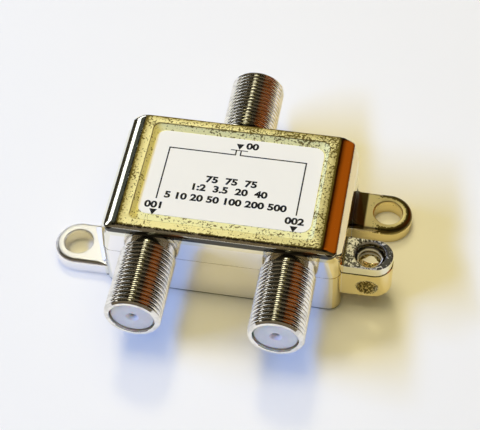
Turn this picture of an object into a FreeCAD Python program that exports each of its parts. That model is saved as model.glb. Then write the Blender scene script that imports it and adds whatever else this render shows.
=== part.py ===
"""Two-way coaxial splitter: a die-cast box with three threaded ports and its network inside.

Millimetres. X runs to the right and Y to the back as the label is read, Z up. The origin is on
the mounting surface, under the middle of the box. Two outputs face the front, the input the back.
"""
import FreeCAD, Part

import math
import os
import re

import Sketcher

# Driving sizes
SIZES = {
    # Box
    "body_width": 40.9,
    "body_depth": 25.4,
    "body_corner": 2.0,
    "shoulder_corner": 3.0,
    "shoulder_height": 14.6,
    "parting_height": 9.3,
    "parting_depth": 0.12,
    "parting_gap": 0.2,
    "side_wall": 2.0,
    "end_wall": 2.0,
    "roof": 1.6,
    "cavity_corner": 1.0,
    # Lid-like top
    "ledge_side": 0.9,
    "ledge_front": 0.1,
    "lid_corner": 1.3,
    "lid_lip": 0.64,
    "bevel_height": 1.16,
    "bevel_side": 2.35,
    "bevel_front": 0.6,
    "bevel_bulge": 0.16,
    "lid_top_corner": 0.7,
    "rim_side": 1.75,
    "rim_front": 1.4,
    "recess_depth": 1.0,
    "recess_corner": 1.3,
    # Label
    "label_margin_side": 0.75,
    "label_margin_front": 2.1,
    "label_margin_back": 0.9,
    "label_corner": 1.8,
    "label_thickness": 0.12,
    # Screw ears
    "ear_thickness": 2.95,
    "ear_radius": 4.25,
    "ear_reach": 5.9,
    "ear_offset": 7.3,
    "ear_hole_radius": 2.5,
    "ear_edge": 0.8,
    "left_root_wide": 3.7,
    "right_root_wide": 2.15,
    "root_narrow": 0.75,
    "root_rise": 2.0,
    # Grounding lug
    "lug_radius": 3.0,
    "lug_step": 0.12,
    "lug_reach": 5.15,
    "lug_offset": 8.1,
    "lug_top": 11.4,
    "lug_bottom": 3.5,
    "ground_reach": 4.35,
    "ground_minor": 1.95,
    "ground_depth": 0.45,
    "ground_pitch": 1.0583,
    "ground_crest": 0.2,
    "ground_sink": 0.45,
    "wire_radius": 1.75,
    "wire_height": 6.1,
    # Threaded ports
    "port_spacing": 23.64,
    "port_height": 10.3,
    "port_length": 13.5,
    "thread_radius": 4.75,
    "thread_depth": 0.45,
    "thread_pitch": 0.79375,
    "thread_crest": 0.12,
    "thread_root": 0.1,
    "port_chamfer": 0.55,
    "port_neck": 0.8,
    "port_bore": 3.8,
    "bore_depth": 10.0,
    "shank_radius": 3.4,
    "shank_bore": 2.45,
    "press_gap": 0.02,
    # Insulators
    "insulator_gap": 0.05,
    "insulator_recess": 0.3,
    "insulator_tail": 0.5,
    "entry_radius": 0.6,
    "entry_length": 1.6,
    "dimple_radius": 1.25,
    "dimple_depth": 0.55,
    "pocket_radius": 1.05,
    "pocket_sink": 0.5,
    # Contacts
    "contact_radius": 0.95,
    "contact_wall": 0.35,
    "contact_gap": 0.1,
    "contact_base": 1.4,
    "slot_width": 0.3,
    "slot_length": 5.0,
    "tail_radius": 0.3,
    "tail_gap": 0.05,
    "tail_run": 2.5,
    "tail_bend": 1.0,
    "tail_stick": 0.8,
    # Circuit board
    "board_height": 7.0,
    "board_thickness": 1.2,
    "board_gap": 0.35,
    "post_size": 3.0,
    "post_bite": 0.5,
    # Two-hole cores
    "core_width": 5.0,
    "core_length": 3.4,
    "core_tall": 3.0,
    "core_hole": 0.75,
    "core_hole_spacing": 2.4,
    "core_edge": 0.4,
    "matching_y": 2.9,
    "splitting_y": -3.4,
    "loop_wire": 0.13,
    "loop_pitch": 0.36,
    "loop_gap": 0.12,
    "loop_bend": 0.33,
    "matching_loops": 3,
    "splitting_loops": 3,
    # Chip resistor
    "resistor_length": 2.0,
    "resistor_width": 1.25,
    "resistor_thick": 0.5,
    "resistor_cap": 0.35,
    "resistor_step": 0.05,
    "resistor_inset": 3.1,
    # Disc capacitors
    "disc_radius": 2.0,
    "disc_thickness": 1.3,
    "disc_lift": 0.8,
    "disc_edge": 0.4,
    "disc_lead": 0.25,
    "disc_lead_spacing": 2.5,
    "out_disc_x": 6.4,
    "out_disc_inset": 4.1,
    "in_disc_x": -5.2,
    "in_disc_inset": 3.8,
    # Chokes
    "rod_radius": 1.0,
    "rod_length": 7.0,
    "coil_wire": 0.16,
    "coil_pitch": 0.5,
    "coil_turns": 9,
    "coil_gap": 0.02,
    "out_rod_inset": 5.25,
    "out_rod_y": 1.6,
    "in_rod_x": 7.2,
    "in_rod_inset": 3.8,
    # Diodes
    "diode_radius": 0.95,
    "diode_length": 4.2,
    "diode_edge": 0.3,
    "diode_lift": 0.3,
    "diode_lead": 0.25,
    "diode_span": 6.6,
    "diode_bend": 0.6,
    "diode_side_inset": 5.25,
    "diode_front_inset": 6.1,
    # Solder
    "solder_radius": 1.0,
    "solder_height": 0.7,
    "solder_top": 0.5,
    "ground_solder_leg": 1.3,
    "ground_solder_length": 3.0,
    # Back plate and its bead
    "plate_thickness": 0.8,
    "plate_ledge": 0.9,
    "plate_gap": 0.1,
    "plate_depth": 0.4,
    "plate_corner": 1.6,
    "bead_width": 1.4,
    "bead_relief": 0.1,
}

doc = FreeCAD.newDocument("splitter")
sheet = doc.addObject("Spreadsheet::Sheet", "sizes")
for row, (alias, number) in enumerate(SIZES.items(), start=1):
    sheet.set(f"A{row}", alias)
    sheet.set(f"B{row}", str(number))
    sheet.setAlias(f"B{row}", alias)
doc.recompute()

# Sizes that several pieces share, worked out from the driving ones
SHARED = {
    "half_width": "body_width / 2",
    "half_depth": "body_depth / 2",
    "lid_half_width": "body_width / 2 - ledge_side",
    "lid_half_depth": "body_depth / 2 - ledge_front",
    "lid_edge": "shoulder_height + lid_lip",
    "lid_top": "shoulder_height + lid_lip + bevel_height",
    "rim_half_width": "body_width / 2 - ledge_side - bevel_side",
    "rim_half_depth": "body_depth / 2 - ledge_front - bevel_front",
    "recess_half_width": "body_width / 2 - ledge_side - bevel_side - rim_side",
    "recess_half_depth": "body_depth / 2 - ledge_front - bevel_front - rim_front",
    "recess_floor": "shoulder_height + lid_lip + bevel_height - recess_depth",
    "cavity_roof": "shoulder_height + lid_lip + bevel_height - recess_depth - roof",
    "cavity_half_width": "body_width / 2 - side_wall",
    "cavity_half_depth": "body_depth / 2 - end_wall",
    "ear_x": "body_width / 2 + ear_reach",
    "lug_x": "body_width / 2 + lug_reach",
    "ground_x": "body_width / 2 + ground_reach",
    "port_x": "port_spacing / 2",
    "thread_minor": "thread_radius - thread_depth",
    "shoulder_seat": "port_length - bore_depth",
    "board_bottom": "board_height - board_thickness",
    "tail_drop": "port_height - board_height + board_thickness + tail_stick",
    "tail_y": "body_depth / 2 - end_wall - tail_run",
    "coil_radius": "rod_radius + coil_gap + coil_wire",
    "rod_axis": "board_height + rod_radius + coil_gap + 2 * coil_wire",
    "core_middle": "board_height + core_tall / 2",
    "plate_top": "plate_depth + plate_thickness",
    "resistor_y": "resistor_inset - body_depth / 2 + end_wall",
    "out_disc_y": "out_disc_inset - body_depth / 2 + end_wall",
    "in_disc_y": "body_depth / 2 - end_wall - in_disc_inset",
    "in_rod_y": "body_depth / 2 - end_wall - in_rod_inset",
    "out_rod_x": "body_width / 2 - side_wall - out_rod_inset",
    "diode_x": "body_width / 2 - side_wall - diode_side_inset",
    "diode_y": "diode_front_inset - body_depth / 2 + end_wall",
}


def full(expression):
    """The expression with shared names written out and every cell named by its sheet."""
    names = r"[a-z][a-z0-9_]*"
    for _ in range(2):
        expression = re.sub(names, lambda w: f"({SHARED[w[0]]})" if w[0] in SHARED else w[0], expression)
    return re.sub(names, lambda w: f"sizes.{w[0]}" if w[0] in SIZES else w[0], expression)


def value(expression):
    """The number that an expression of sizes comes to."""
    return float(sheet.evalExpression(full(expression)))


def bind(thing, prop, expression):
    """Tie a property of an object to an expression of sizes."""
    thing.setExpression(prop, full(expression))


def new_body(label):
    """An empty body for one piece."""
    body = doc.addObject("PartDesign::Body", label)
    body.Label = label
    body.AllowCompound = True
    return body


def new_sketch(body, name, role, offset="0"):
    """A sketch on one of the body's own planes, shifted along the plane's normal."""
    sketch = body.newObject("Sketcher::SketchObject", name)
    plane = next(item for item in body.Origin.OriginFeatures if item.Role == role)
    sketch.AttachmentSupport = [(plane, "")]
    sketch.MapMode = "FlatFace"
    if offset != "0":
        shift = FreeCAD.Vector(0, 0, value(offset))
        sketch.AttachmentOffset = FreeCAD.Placement(shift, FreeCAD.Rotation())
        bind(sketch, "AttachmentOffset.Base.z", offset)
    return sketch


def pin_point(sketch, geometry, position, x, y):
    """Hold a point of the sketch at x, y from its origin."""
    for kind, letter, expression in (("DistanceX", "x", x), ("DistanceY", "y", y)):
        number = sketch.addConstraint(
            Sketcher.Constraint(kind, -1, 1, geometry, position, value(expression))
        )
        sketch.renameConstraint(number, f"{letter}{geometry}_{position}")
        bind(sketch, f"Constraints.{letter}{geometry}_{position}", expression)


def draw_polygon(sketch, points):
    """A closed outline of straight lines through points given as pairs of expressions."""
    first = sketch.GeometryCount
    places = [FreeCAD.Vector(value(x), value(y), 0) for x, y in points]
    for start, end in zip(places, places[1:] + places[:1]):
        sketch.addGeometry(Part.LineSegment(start, end), False)
    for index, (x, y) in enumerate(points):
        after = first + (index + 1) % len(points)
        sketch.addConstraint(Sketcher.Constraint("Coincident", first + index, 2, after, 1))
        pin_point(sketch, first + index, 1, x, y)


def draw_rectangle(sketch, low_x, low_y, high_x, high_y):
    """A rectangle between two corners."""
    draw_polygon(sketch, [(low_x, low_y), (high_x, low_y), (high_x, high_y), (low_x, high_y)])


def draw_circle(sketch, x, y, radius):
    """A circle whose centre and radius are tied to sizes."""
    centre = FreeCAD.Vector(value(x), value(y), 0)
    circle = Part.Circle(centre, FreeCAD.Vector(0, 0, 1), value(radius))
    number = sketch.addGeometry(circle, False)
    pin_point(sketch, number, 3, x, y)
    limit = sketch.addConstraint(Sketcher.Constraint("Radius", number, value(radius)))
    sketch.renameConstraint(limit, f"r{number}")
    bind(sketch, f"Constraints.r{number}", radius)


def draw_rounded(sketch, half_x, half_y, corner, centre_y="0"):
    """A rectangle with rounded corners, centred on the sketch's upright axis."""
    first = sketch.GeometryCount
    radius = value(corner)
    middle = value(centre_y)
    reach = FreeCAD.Vector(value(half_x) - radius, value(half_y) - radius, 0)
    signs = [(1, 1), (-1, 1), (-1, -1), (1, -1)]
    centres = [FreeCAD.Vector(sx * reach.x, middle + sy * reach.y, 0) for sx, sy in signs]
    for quarter, centre in enumerate(centres):
        circle = Part.Circle(centre, FreeCAD.Vector(0, 0, 1), radius)
        start = quarter * math.pi / 2
        sketch.addGeometry(Part.ArcOfCircle(circle, start, start + math.pi / 2), False)
    for quarter in range(4):
        leaves = sketch.getPoint(first + quarter, 2)
        arrives = sketch.getPoint(first + (quarter + 1) % 4, 1)
        sketch.addGeometry(Part.LineSegment(leaves, arrives), False)
    for quarter, (sx, sy) in enumerate(signs):
        line = first + 4 + quarter
        sketch.addConstraint(Sketcher.Constraint("Tangent", first + quarter, 2, line, 1))
        following = first + (quarter + 1) % 4
        sketch.addConstraint(Sketcher.Constraint("Tangent", line, 2, following, 1))
        x = f"{sx} * (({half_x}) - {corner})"
        y = f"{centre_y} + {sy} * (({half_y}) - {corner})"
        pin_point(sketch, first + quarter, 3, x, y)
        if quarter:
            sketch.addConstraint(Sketcher.Constraint("Equal", first, first + quarter))
    limit = sketch.addConstraint(Sketcher.Constraint("Radius", first, radius))
    sketch.renameConstraint(limit, f"r{first}")
    bind(sketch, f"Constraints.r{first}", corner)


def add_pad(body, name, sketch, length, reverse=False):
    """Extrude a sketch into material."""
    pad = body.newObject("PartDesign::Pad", name)
    pad.Profile = sketch
    pad.Length = value(length)
    bind(pad, "Length", length)
    pad.Reversed = reverse
    doc.recompute()
    return pad


def cut_pocket(body, name, sketch, length, reverse=False):
    """Cut a sketch out of the material, and make sure that something went."""
    before = body.Shape.Volume
    pocket = body.newObject("PartDesign::Pocket", name)
    pocket.Profile = sketch
    pocket.Length = value(length)
    bind(pocket, "Length", length)
    pocket.Reversed = reverse
    doc.recompute()
    if body.Shape.Volume >= before:
        raise RuntimeError(f"{body.Label}: {name} cuts nothing")
    return pocket


def turn(body, name, sketch, kind="PartDesign::Revolution", axis="V_Axis"):
    """Turn a sketch about one of its axes, as material or as a groove."""
    feature = body.newObject(kind, name)
    feature.Profile = sketch
    feature.ReferenceAxis = (sketch, [axis])
    feature.Angle = 360
    doc.recompute()
    return feature


def repeat_along(body, name, feature, sketch, count, pitch):
    """Repeat a feature along the upright axis of its sketch."""
    pattern = body.newObject("PartDesign::LinearPattern", name)
    pattern.Originals = [feature]
    pattern.Direction = (sketch, ["V_Axis"])
    pattern.Length = value(f"({count} - 1) * {pitch}")
    bind(pattern, "Length", f"({count} - 1) * {pitch}")
    pattern.Occurrences = int(value(count))
    bind(pattern, "Occurrences", count)
    body.Tip = pattern
    doc.recompute()
    return pattern


def soften(body, name, feature, numbers, radius):
    """Round the numbered edges of a feature."""
    if not numbers:
        raise RuntimeError(f"{body.Label}: {name} finds no edge")
    fillet = body.newObject("PartDesign::Fillet", name)
    fillet.Base = (feature, [f"Edge{number}" for number in numbers])
    fillet.Radius = value(radius)
    bind(fillet, "Radius", radius)
    doc.recompute()
    return fillet


def set_place(thing, x="0", y="0", z="0", rotation=None):
    """Put a piece at a place tied to sizes, turned as given."""
    place = FreeCAD.Vector(value(x), value(y), value(z))
    thing.Placement = FreeCAD.Placement(place, rotation or FreeCAD.Rotation())
    for axis, expression in (("x", x), ("y", y), ("z", z)):
        bind(thing, f"Placement.Base.{axis}", expression)


# A port's own Z points out of the wall, its own Y stays upright
FRONT = FreeCAD.Rotation(FreeCAD.Vector(1, 0, 0), 90)
BACK = FreeCAD.Rotation(FreeCAD.Vector(0, 0, 1), 180).multiply(FRONT)
PORTS = {
    "in": ("0", "half_depth", BACK),
    "out_1": ("-port_x", "-half_depth", FRONT),
    "out_2": ("port_x", "-half_depth", FRONT),
}
# Where the contact tails pass through the board
TAILS = [("in", "0", "tail_y"), ("out_1", "-port_x", "-tail_y"), ("out_2", "port_x", "-tail_y")]


def make_housing():
    """The casting: box, lid-like top, ears and grounding lug."""
    body = new_body("housing")
    add_box(body)
    add_lid(body)
    add_cavity(body)
    add_ears(body)
    add_lug(body)
    cut_port_holes(body)
    return body


def add_box(body):
    """The box up to its shoulder, with the moulding line around it."""
    low = new_sketch(body, "box_low", "XY_Plane")
    draw_rounded(low, "half_width", "half_depth", "body_corner")
    add_pad(body, "box", low, "parting_height")
    seam = new_sketch(body, "box_seam", "XY_Plane", "parting_height")
    draw_rounded(seam, "half_width", "half_depth", "body_corner")
    shoulder = new_sketch(body, "box_shoulder", "XY_Plane", "shoulder_height")
    draw_rounded(shoulder, "half_width", "half_depth", "shoulder_corner")
    upper = body.newObject("PartDesign::AdditiveLoft", "box_upper")
    upper.Profile = seam
    upper.Sections = [shoulder]
    upper.Ruled = True
    doc.recompute()
    ring = new_sketch(body, "parting_ring", "XY_Plane", "parting_height + parting_gap / 2")
    outside = "body_corner + parting_gap"
    draw_rounded(ring, "half_width + parting_gap", "half_depth + parting_gap", f"({outside})")
    inner = "(body_corner - parting_depth)"
    draw_rounded(ring, "half_width - parting_depth", "half_depth - parting_depth", inner)
    cut_pocket(body, "parting_line", ring, "parting_gap")


def add_lid(body):
    """The lid-like top: a lip, a bevel that bulges a little and the recess for the label."""
    foot = new_sketch(body, "lid_foot", "XY_Plane", "shoulder_height")
    draw_rounded(foot, "lid_half_width", "lid_half_depth", "lid_corner")
    add_pad(body, "lid_lip", foot, "lid_lip")
    edge = new_sketch(body, "lid_edge", "XY_Plane", "lid_edge")
    draw_rounded(edge, "lid_half_width", "lid_half_depth", "lid_corner")
    middle = new_sketch(body, "lid_middle", "XY_Plane", "lid_edge + bevel_height / 2 + bevel_bulge")
    corner = "((lid_corner + lid_top_corner) / 2)"
    draw_rounded(middle, "lid_half_width - bevel_side / 2", "lid_half_depth - bevel_front / 2", corner)
    top = new_sketch(body, "lid_top", "XY_Plane", "lid_top")
    draw_rounded(top, "rim_half_width", "rim_half_depth", "lid_top_corner")
    bevel = body.newObject("PartDesign::AdditiveLoft", "lid_bevel")
    bevel.Profile = edge
    bevel.Sections = [middle, top]
    bevel.Ruled = False
    doc.recompute()
    recess = new_sketch(body, "label_recess", "XY_Plane", "lid_top")
    draw_rounded(recess, "recess_half_width", "recess_half_depth", "recess_corner")
    cut_pocket(body, "recess", recess, "recess_depth")


def add_cavity(body):
    """The hollow for the network, the rebate for the back plate and the board's corner posts."""
    hollow = new_sketch(body, "cavity_outline", "XY_Plane")
    draw_rounded(hollow, "cavity_half_width", "cavity_half_depth", "cavity_corner")
    cut_pocket(body, "cavity", hollow, "cavity_roof", reverse=True)
    rebate = new_sketch(body, "rebate_outline", "XY_Plane")
    half_x = "cavity_half_width + plate_ledge"
    half_y = "cavity_half_depth + plate_ledge"
    draw_rounded(rebate, half_x, half_y, "plate_corner")
    cut_pocket(body, "rebate", rebate, "plate_top", reverse=True)
    posts = new_sketch(body, "post_outline", "XY_Plane", "board_height")
    for sx in (-1, 1):
        for sy in (-1, 1):
            x_in = f"{sx} * (cavity_half_width - post_size)"
            x_out = f"{sx} * (cavity_half_width + post_bite)"
            y_in = f"{sy} * (cavity_half_depth - post_size)"
            y_out = f"{sy} * (cavity_half_depth + post_bite)"
            draw_rectangle(posts, x_in, y_in, x_out, y_out)
    add_pad(body, "posts", posts, "cavity_roof - board_height + roof / 2")


def add_ears(body):
    """The two screw ears on opposite corners, with rounded edges and a sloping root."""
    for name, side in (("left", -1), ("right", 1)):
        outline = new_sketch(body, f"{name}_ear_outline", "XY_Plane")
        root = f"{side} * (half_width - side_wall / 2)"
        tip = f"{side} * ear_x"
        low = f"{side} * ear_offset - ear_radius"
        high = f"{side} * ear_offset + ear_radius"
        draw_rectangle(outline, root, low, tip, high)
        add_pad(body, f"{name}_ear_arm", outline, "ear_thickness")
        disc = new_sketch(body, f"{name}_ear_disc", "XY_Plane")
        draw_circle(disc, tip, f"{side} * ear_offset", "ear_radius")
        end = add_pad(body, f"{name}_ear_end", disc, "ear_thickness")
        rim = [number for number, edge in enumerate(end.Shape.Edges, start=1) if on_ear(edge, side)]
        soften(body, f"{name}_ear_rounding", end, rim, "ear_edge")
        add_ear_root(body, name, side)
        hole = new_sketch(body, f"{name}_ear_hole", "XY_Plane")
        draw_circle(hole, tip, f"{side} * ear_offset", "ear_hole_radius")
        cut_pocket(body, f"{name}_ear_bore", hole, "ear_thickness", reverse=True)


def on_ear(edge, side):
    """Whether an edge is part of the top rim of the ear on one side."""
    box = edge.BoundBox
    level = box.ZLength < 1e-4 and abs(box.ZMax - value("ear_thickness")) < 1e-4
    return level and side * box.Center.x > value("half_width") + 0.05


def add_ear_root(body, name, side):
    """The slope from an ear up to the wall, wide towards the middle of the box."""
    sections = []
    inside = f"{side} * (half_width - side_wall / 2)"
    ends = (("wide", -1, f"{name}_root_wide"), ("narrow", 1, "root_narrow"))
    for which, toward, run in ends:
        level = f"-({side} * ear_offset + {side * toward} * (ear_radius - ear_edge))"
        sketch = new_sketch(body, f"{name}_root_{which}", "XZ_Plane", level)
        outer = f"{side} * (half_width + {run})"
        wall = f"{side} * (half_width)"
        bottom = "ear_thickness - ear_edge"
        points = [
            (inside, bottom),
            (outer, bottom),
            (outer, "ear_thickness"),
            (f"{side} * (half_width + {run} / 3)", "ear_thickness + root_rise / 3"),
            (wall, "ear_thickness + root_rise"),
            (inside, "ear_thickness + root_rise"),
        ]
        draw_polygon(sketch, points)
        sections.append(sketch)
    loft = body.newObject("PartDesign::AdditiveLoft", f"{name}_root")
    loft.Profile = sections[0]
    loft.Sections = [sections[1]]
    loft.Ruled = True
    doc.recompute()


def add_lug(body):
    """The grounding lug: a tapped hole from above that ends in the hole for the ground wire."""
    root = "half_width - side_wall / 2"
    levels = (
        ("lower", "lug_bottom", "parting_height - lug_bottom", "lug_radius + lug_step"),
        ("upper", "parting_height", "lug_top - parting_height", "lug_radius"),
    )
    for name, bottom, height, radius in levels:
        arm = new_sketch(body, f"lug_{name}_arm", "XY_Plane", bottom)
        low = f"-lug_offset - ({radius})"
        high = f"-lug_offset + ({radius})"
        draw_rectangle(arm, root, low, "lug_x", high)
        add_pad(body, f"lug_{name}_block", arm, height)
        end = new_sketch(body, f"lug_{name}_disc", "XY_Plane", bottom)
        draw_circle(end, "lug_x", "-lug_offset", radius)
        add_pad(body, f"lug_{name}_end", end, height)
    screw = new_sketch(body, "ground_hole", "XY_Plane", "wire_height")
    draw_circle(screw, "ground_x", "-lug_offset", "ground_minor")
    cut_pocket(body, "ground_bore", screw, "lug_top - wire_height", reverse=True)
    cut_ground_thread(body)
    wire = new_sketch(body, "wire_hole", "XZ_Plane", "lug_offset + lug_radius + lug_step")
    draw_circle(wire, "ground_x", "wire_height", "wire_radius")
    cut_pocket(body, "wire_bore", wire, "2 * (lug_radius + lug_step)")


def cut_ground_thread(body):
    """The thread ridges in the lug's hole and the countersink at its mouth."""
    length = "(lug_top - wire_height - ground_sink)"
    count = f"floor({length} / ground_pitch)"
    half_open = "(ground_pitch - ground_crest) / 2"
    groove = new_sketch(body, "ground_groove", "XZ_Plane", "lug_offset")
    inner = "ground_minor - ground_depth / 4"
    base = "(wire_height + ground_pitch / 2)"
    draw_polygon(groove, [
        (f"ground_x + {inner}", f"{base} - {half_open}"),
        ("ground_x + ground_minor", f"{base} - {half_open}"),
        ("ground_x + ground_minor + ground_depth", base),
        ("ground_x + ground_minor", f"{base} + {half_open}"),
        (f"ground_x + {inner}", f"{base} + {half_open}"),
    ])
    stand_axis(groove, "ground_x")
    ridge = turn(body, "ground_ridge", groove, "PartDesign::Groove", "Axis0")
    repeat_along(body, "ground_thread", ridge, groove, count, "ground_pitch")
    sink = new_sketch(body, "ground_sink", "XZ_Plane", "lug_offset")
    draw_polygon(sink, [
        (f"ground_x + {inner}", "lug_top - ground_sink"),
        ("ground_x + ground_minor + ground_depth", "lug_top - ground_sink"),
        ("ground_x + ground_minor + ground_depth + ground_sink", "lug_top"),
        (f"ground_x + {inner}", "lug_top"),
    ])
    stand_axis(sink, "ground_x")
    turn(body, "ground_mouth", sink, "PartDesign::Groove", "Axis0")


def stand_axis(sketch, x):
    """A construction line that stands upright in the sketch at x, to turn about."""
    foot = FreeCAD.Vector(value(x), 0, 0)
    line = Part.LineSegment(foot, foot + FreeCAD.Vector(0, 1, 0))
    number = sketch.addGeometry(line, True)
    pin_point(sketch, number, 1, x, "0")
    pin_point(sketch, number, 2, x, "1")


def cut_port_holes(body):
    """The holes in the end walls that hold the shanks of the ports."""
    front = new_sketch(body, "front_holes", "XZ_Plane", "half_depth")
    for side in (-1, 1):
        draw_circle(front, f"{side} * port_x", "port_height", "shank_radius + press_gap")
    cut_pocket(body, "front_seats", front, "end_wall")
    back = new_sketch(body, "back_hole", "XZ_Plane", "-half_depth")
    draw_circle(back, "0", "port_height", "shank_radius + press_gap")
    cut_pocket(body, "back_seat", back, "end_wall", reverse=True)


def make_port(name):
    """A threaded sleeve whose shoulder seats on the wall and whose shank fills the hole."""
    x, y, rotation = PORTS[name]
    body = new_body(f"{name}_port")
    outline = new_sketch(body, "outline", "XZ_Plane")
    draw_polygon(outline, [
        ("shank_bore", "-end_wall"),
        ("shank_radius", "-end_wall"),
        ("shank_radius", "0"),
        ("thread_minor", "0"),
        ("thread_minor", "port_neck"),
        ("thread_radius", "port_neck + thread_depth / 2"),
        ("thread_radius", "port_length - port_chamfer"),
        ("thread_radius - port_chamfer", "port_length"),
        ("port_bore", "port_length"),
        ("port_bore", "shoulder_seat"),
        ("shank_bore", "shoulder_seat"),
    ])
    turn(body, "sleeve", outline)
    groove = new_sketch(body, "groove", "XZ_Plane")
    first = "(port_neck + thread_depth / 2 + thread_pitch / 2)"
    mouth = "(thread_pitch - thread_crest) / 2"
    outside = "thread_radius + thread_depth / 4"
    draw_polygon(groove, [
        ("thread_minor", f"{first} - thread_root / 2"),
        ("thread_radius", f"{first} - {mouth}"),
        (outside, f"{first} - {mouth}"),
        (outside, f"{first} + {mouth}"),
        ("thread_radius", f"{first} + {mouth}"),
        ("thread_minor", f"{first} + thread_root / 2"),
    ])
    ridge = turn(body, "ridge", groove, "PartDesign::Groove")
    span = "(port_length - port_chamfer - port_neck - thread_depth / 2)"
    repeat_along(body, "thread", ridge, groove, f"floor({span} / thread_pitch)", "thread_pitch")
    set_place(body, x, y, "port_height", rotation)


def make_insulator(name):
    """The plastic core of a port, with a pocket for the contact and a dimpled entry."""
    x, y, rotation = PORTS[name]
    body = new_body(f"{name}_insulator")
    outline = new_sketch(body, "outline", "XZ_Plane")
    face = "(port_length - insulator_recess)"
    pocket_top = f"{face} - entry_length - dimple_depth"
    pocket_bottom = "shoulder_seat - pocket_sink"
    end = "-end_wall - insulator_tail"
    draw_polygon(outline, [
        ("tail_radius + tail_gap", end),
        ("shank_bore - insulator_gap", end),
        ("shank_bore - insulator_gap", "shoulder_seat"),
        ("port_bore - insulator_gap", "shoulder_seat"),
        ("port_bore - insulator_gap", face),
        ("dimple_radius", face),
        ("entry_radius", f"{face} - dimple_depth"),
        ("entry_radius", pocket_top),
        ("pocket_radius", pocket_top),
        ("pocket_radius", pocket_bottom),
        ("tail_radius + tail_gap", pocket_bottom),
    ])
    turn(body, "core", outline)
    set_place(body, x, y, "port_height", rotation)


def make_contact(name):
    """The receptacle for the centre wire: a slotted tube with a tail bent down to the board."""
    x, y, rotation = PORTS[name]
    body = new_body(f"{name}_contact")
    pocket_top = "(port_length - insulator_recess - entry_length - dimple_depth)"
    mouth = f"({pocket_top} - contact_gap)"
    base = "(shoulder_seat - pocket_sink)"
    inner = "contact_radius - contact_wall"
    outline = new_sketch(body, "outline", "XZ_Plane")
    draw_polygon(outline, [
        ("0", base),
        ("contact_radius", base),
        ("contact_radius", mouth),
        (inner, mouth),
        (inner, f"{base} + contact_base"),
        ("0", f"{base} + contact_base"),
    ])
    turn(body, "tube", outline)
    slot = new_sketch(body, "slot", "XY_Plane", mouth)
    wide = "slot_width / 2"
    long = "contact_radius + slot_width"
    draw_rectangle(slot, f"-({long})", f"-{wide}", long, wide)
    cut_pocket(body, "leaves", slot, "slot_length")
    path = new_sketch(body, "tail_path", "YZ_Plane")
    draw_tail_path(path, base)
    ring = new_sketch(body, "tail_ring", "XY_Plane", base)
    draw_circle(ring, "0", "0", "tail_radius")
    tail = body.newObject("PartDesign::AdditivePipe", "tail")
    tail.Profile = ring
    tail.Spine = path
    doc.recompute()
    set_place(body, x, y, "port_height", rotation)


def draw_tail_path(sketch, base):
    """The tail's line: straight out of the port, a quarter bend and straight down."""
    turn_z = "(-end_wall - tail_run + tail_bend)"
    end_z = "(-end_wall - tail_run)"
    centre = FreeCAD.Vector(-value("tail_bend"), value(turn_z), 0)
    start = FreeCAD.Vector(0, value(base), 0)
    knee = FreeCAD.Vector(0, value(turn_z), 0)
    low = FreeCAD.Vector(-value("tail_bend"), value(end_z), 0)
    foot = FreeCAD.Vector(-value("tail_drop"), value(end_z), 0)
    circle = Part.Circle(centre, FreeCAD.Vector(0, 0, 1), value("tail_bend"))
    sketch.addGeometry(Part.LineSegment(start, knee), False)
    sketch.addGeometry(Part.ArcOfCircle(circle, -math.pi / 2, 0), False)
    sketch.addGeometry(Part.LineSegment(low, foot), False)
    sketch.addConstraint(Sketcher.Constraint("Tangent", 0, 2, 1, 2))
    sketch.addConstraint(Sketcher.Constraint("Tangent", 1, 1, 2, 1))
    pin_point(sketch, 0, 1, "0", base)
    pin_point(sketch, 1, 3, "-tail_bend", turn_z)
    pin_point(sketch, 2, 2, "-tail_drop", end_z)
    doc.recompute()


def make_label():
    """The label on the floor of the recess."""
    body = new_body("label")
    outline = new_sketch(body, "outline", "XY_Plane")
    half_y = "recess_half_depth - (label_margin_front + label_margin_back) / 2"
    centre_y = "(label_margin_front - label_margin_back) / 2"
    draw_rounded(outline, "recess_half_width - label_margin_side", half_y, "label_corner", centre_y)
    add_pad(body, "sheet", outline, "label_thickness")
    set_place(body, z="recess_floor")


def make_board():
    """The circuit board, pierced for the contact tails."""
    body = new_body("circuit_board")
    outline = new_sketch(body, "outline", "XY_Plane")
    half_x = "(cavity_half_width - board_gap)"
    half_y = "(cavity_half_depth - board_gap)"
    draw_rectangle(outline, f"-{half_x}", f"-{half_y}", half_x, half_y)
    add_pad(body, "blank", outline, "board_thickness")
    holes = new_sketch(body, "tail_holes", "XY_Plane")
    for _, x, y in TAILS:
        draw_circle(holes, x, y, "tail_radius + tail_gap")
    cut_pocket(body, "tail_bores", holes, "board_thickness", reverse=True)
    set_place(body, z="board_bottom")


def make_core(name, y):
    """A two-hole ferrite core that lies on the board."""
    body = new_body(f"{name}_core")
    outline = new_sketch(body, "outline", "XZ_Plane")
    draw_rounded(outline, "core_width / 2", "core_tall / 2", "core_edge")
    for side in (-1, 1):
        draw_circle(outline, f"{side} * core_hole_spacing / 2", "0", "core_hole")
    add_pad(body, "block", outline, "core_length")
    set_place(body, y=f"{y} + core_length / 2", z="core_middle")


def make_winding(name, y, loops):
    """The turns of a transformer: rings of wire through both holes of its core."""
    body = new_body(f"{name}_winding")
    low = f"-({loops} - 1) * loop_pitch / 2"
    half_x = "core_hole_spacing / 2"
    half_y = "core_length / 2 + loop_gap + loop_wire"
    path = new_sketch(body, "turn_path", "XY_Plane", low)
    draw_rounded(path, half_x, half_y, "loop_bend")
    ring = new_sketch(body, "wire_ring", "XZ_Plane", f"loop_bend - ({half_y})")
    draw_circle(ring, half_x, low, "loop_wire")
    first = body.newObject("PartDesign::AdditivePipe", "first_turn")
    first.Profile = ring
    first.Spine = path
    doc.recompute()
    repeat_along(body, "turns", first, ring, loops, "loop_pitch")
    set_place(body, y=y, z="core_middle")


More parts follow.
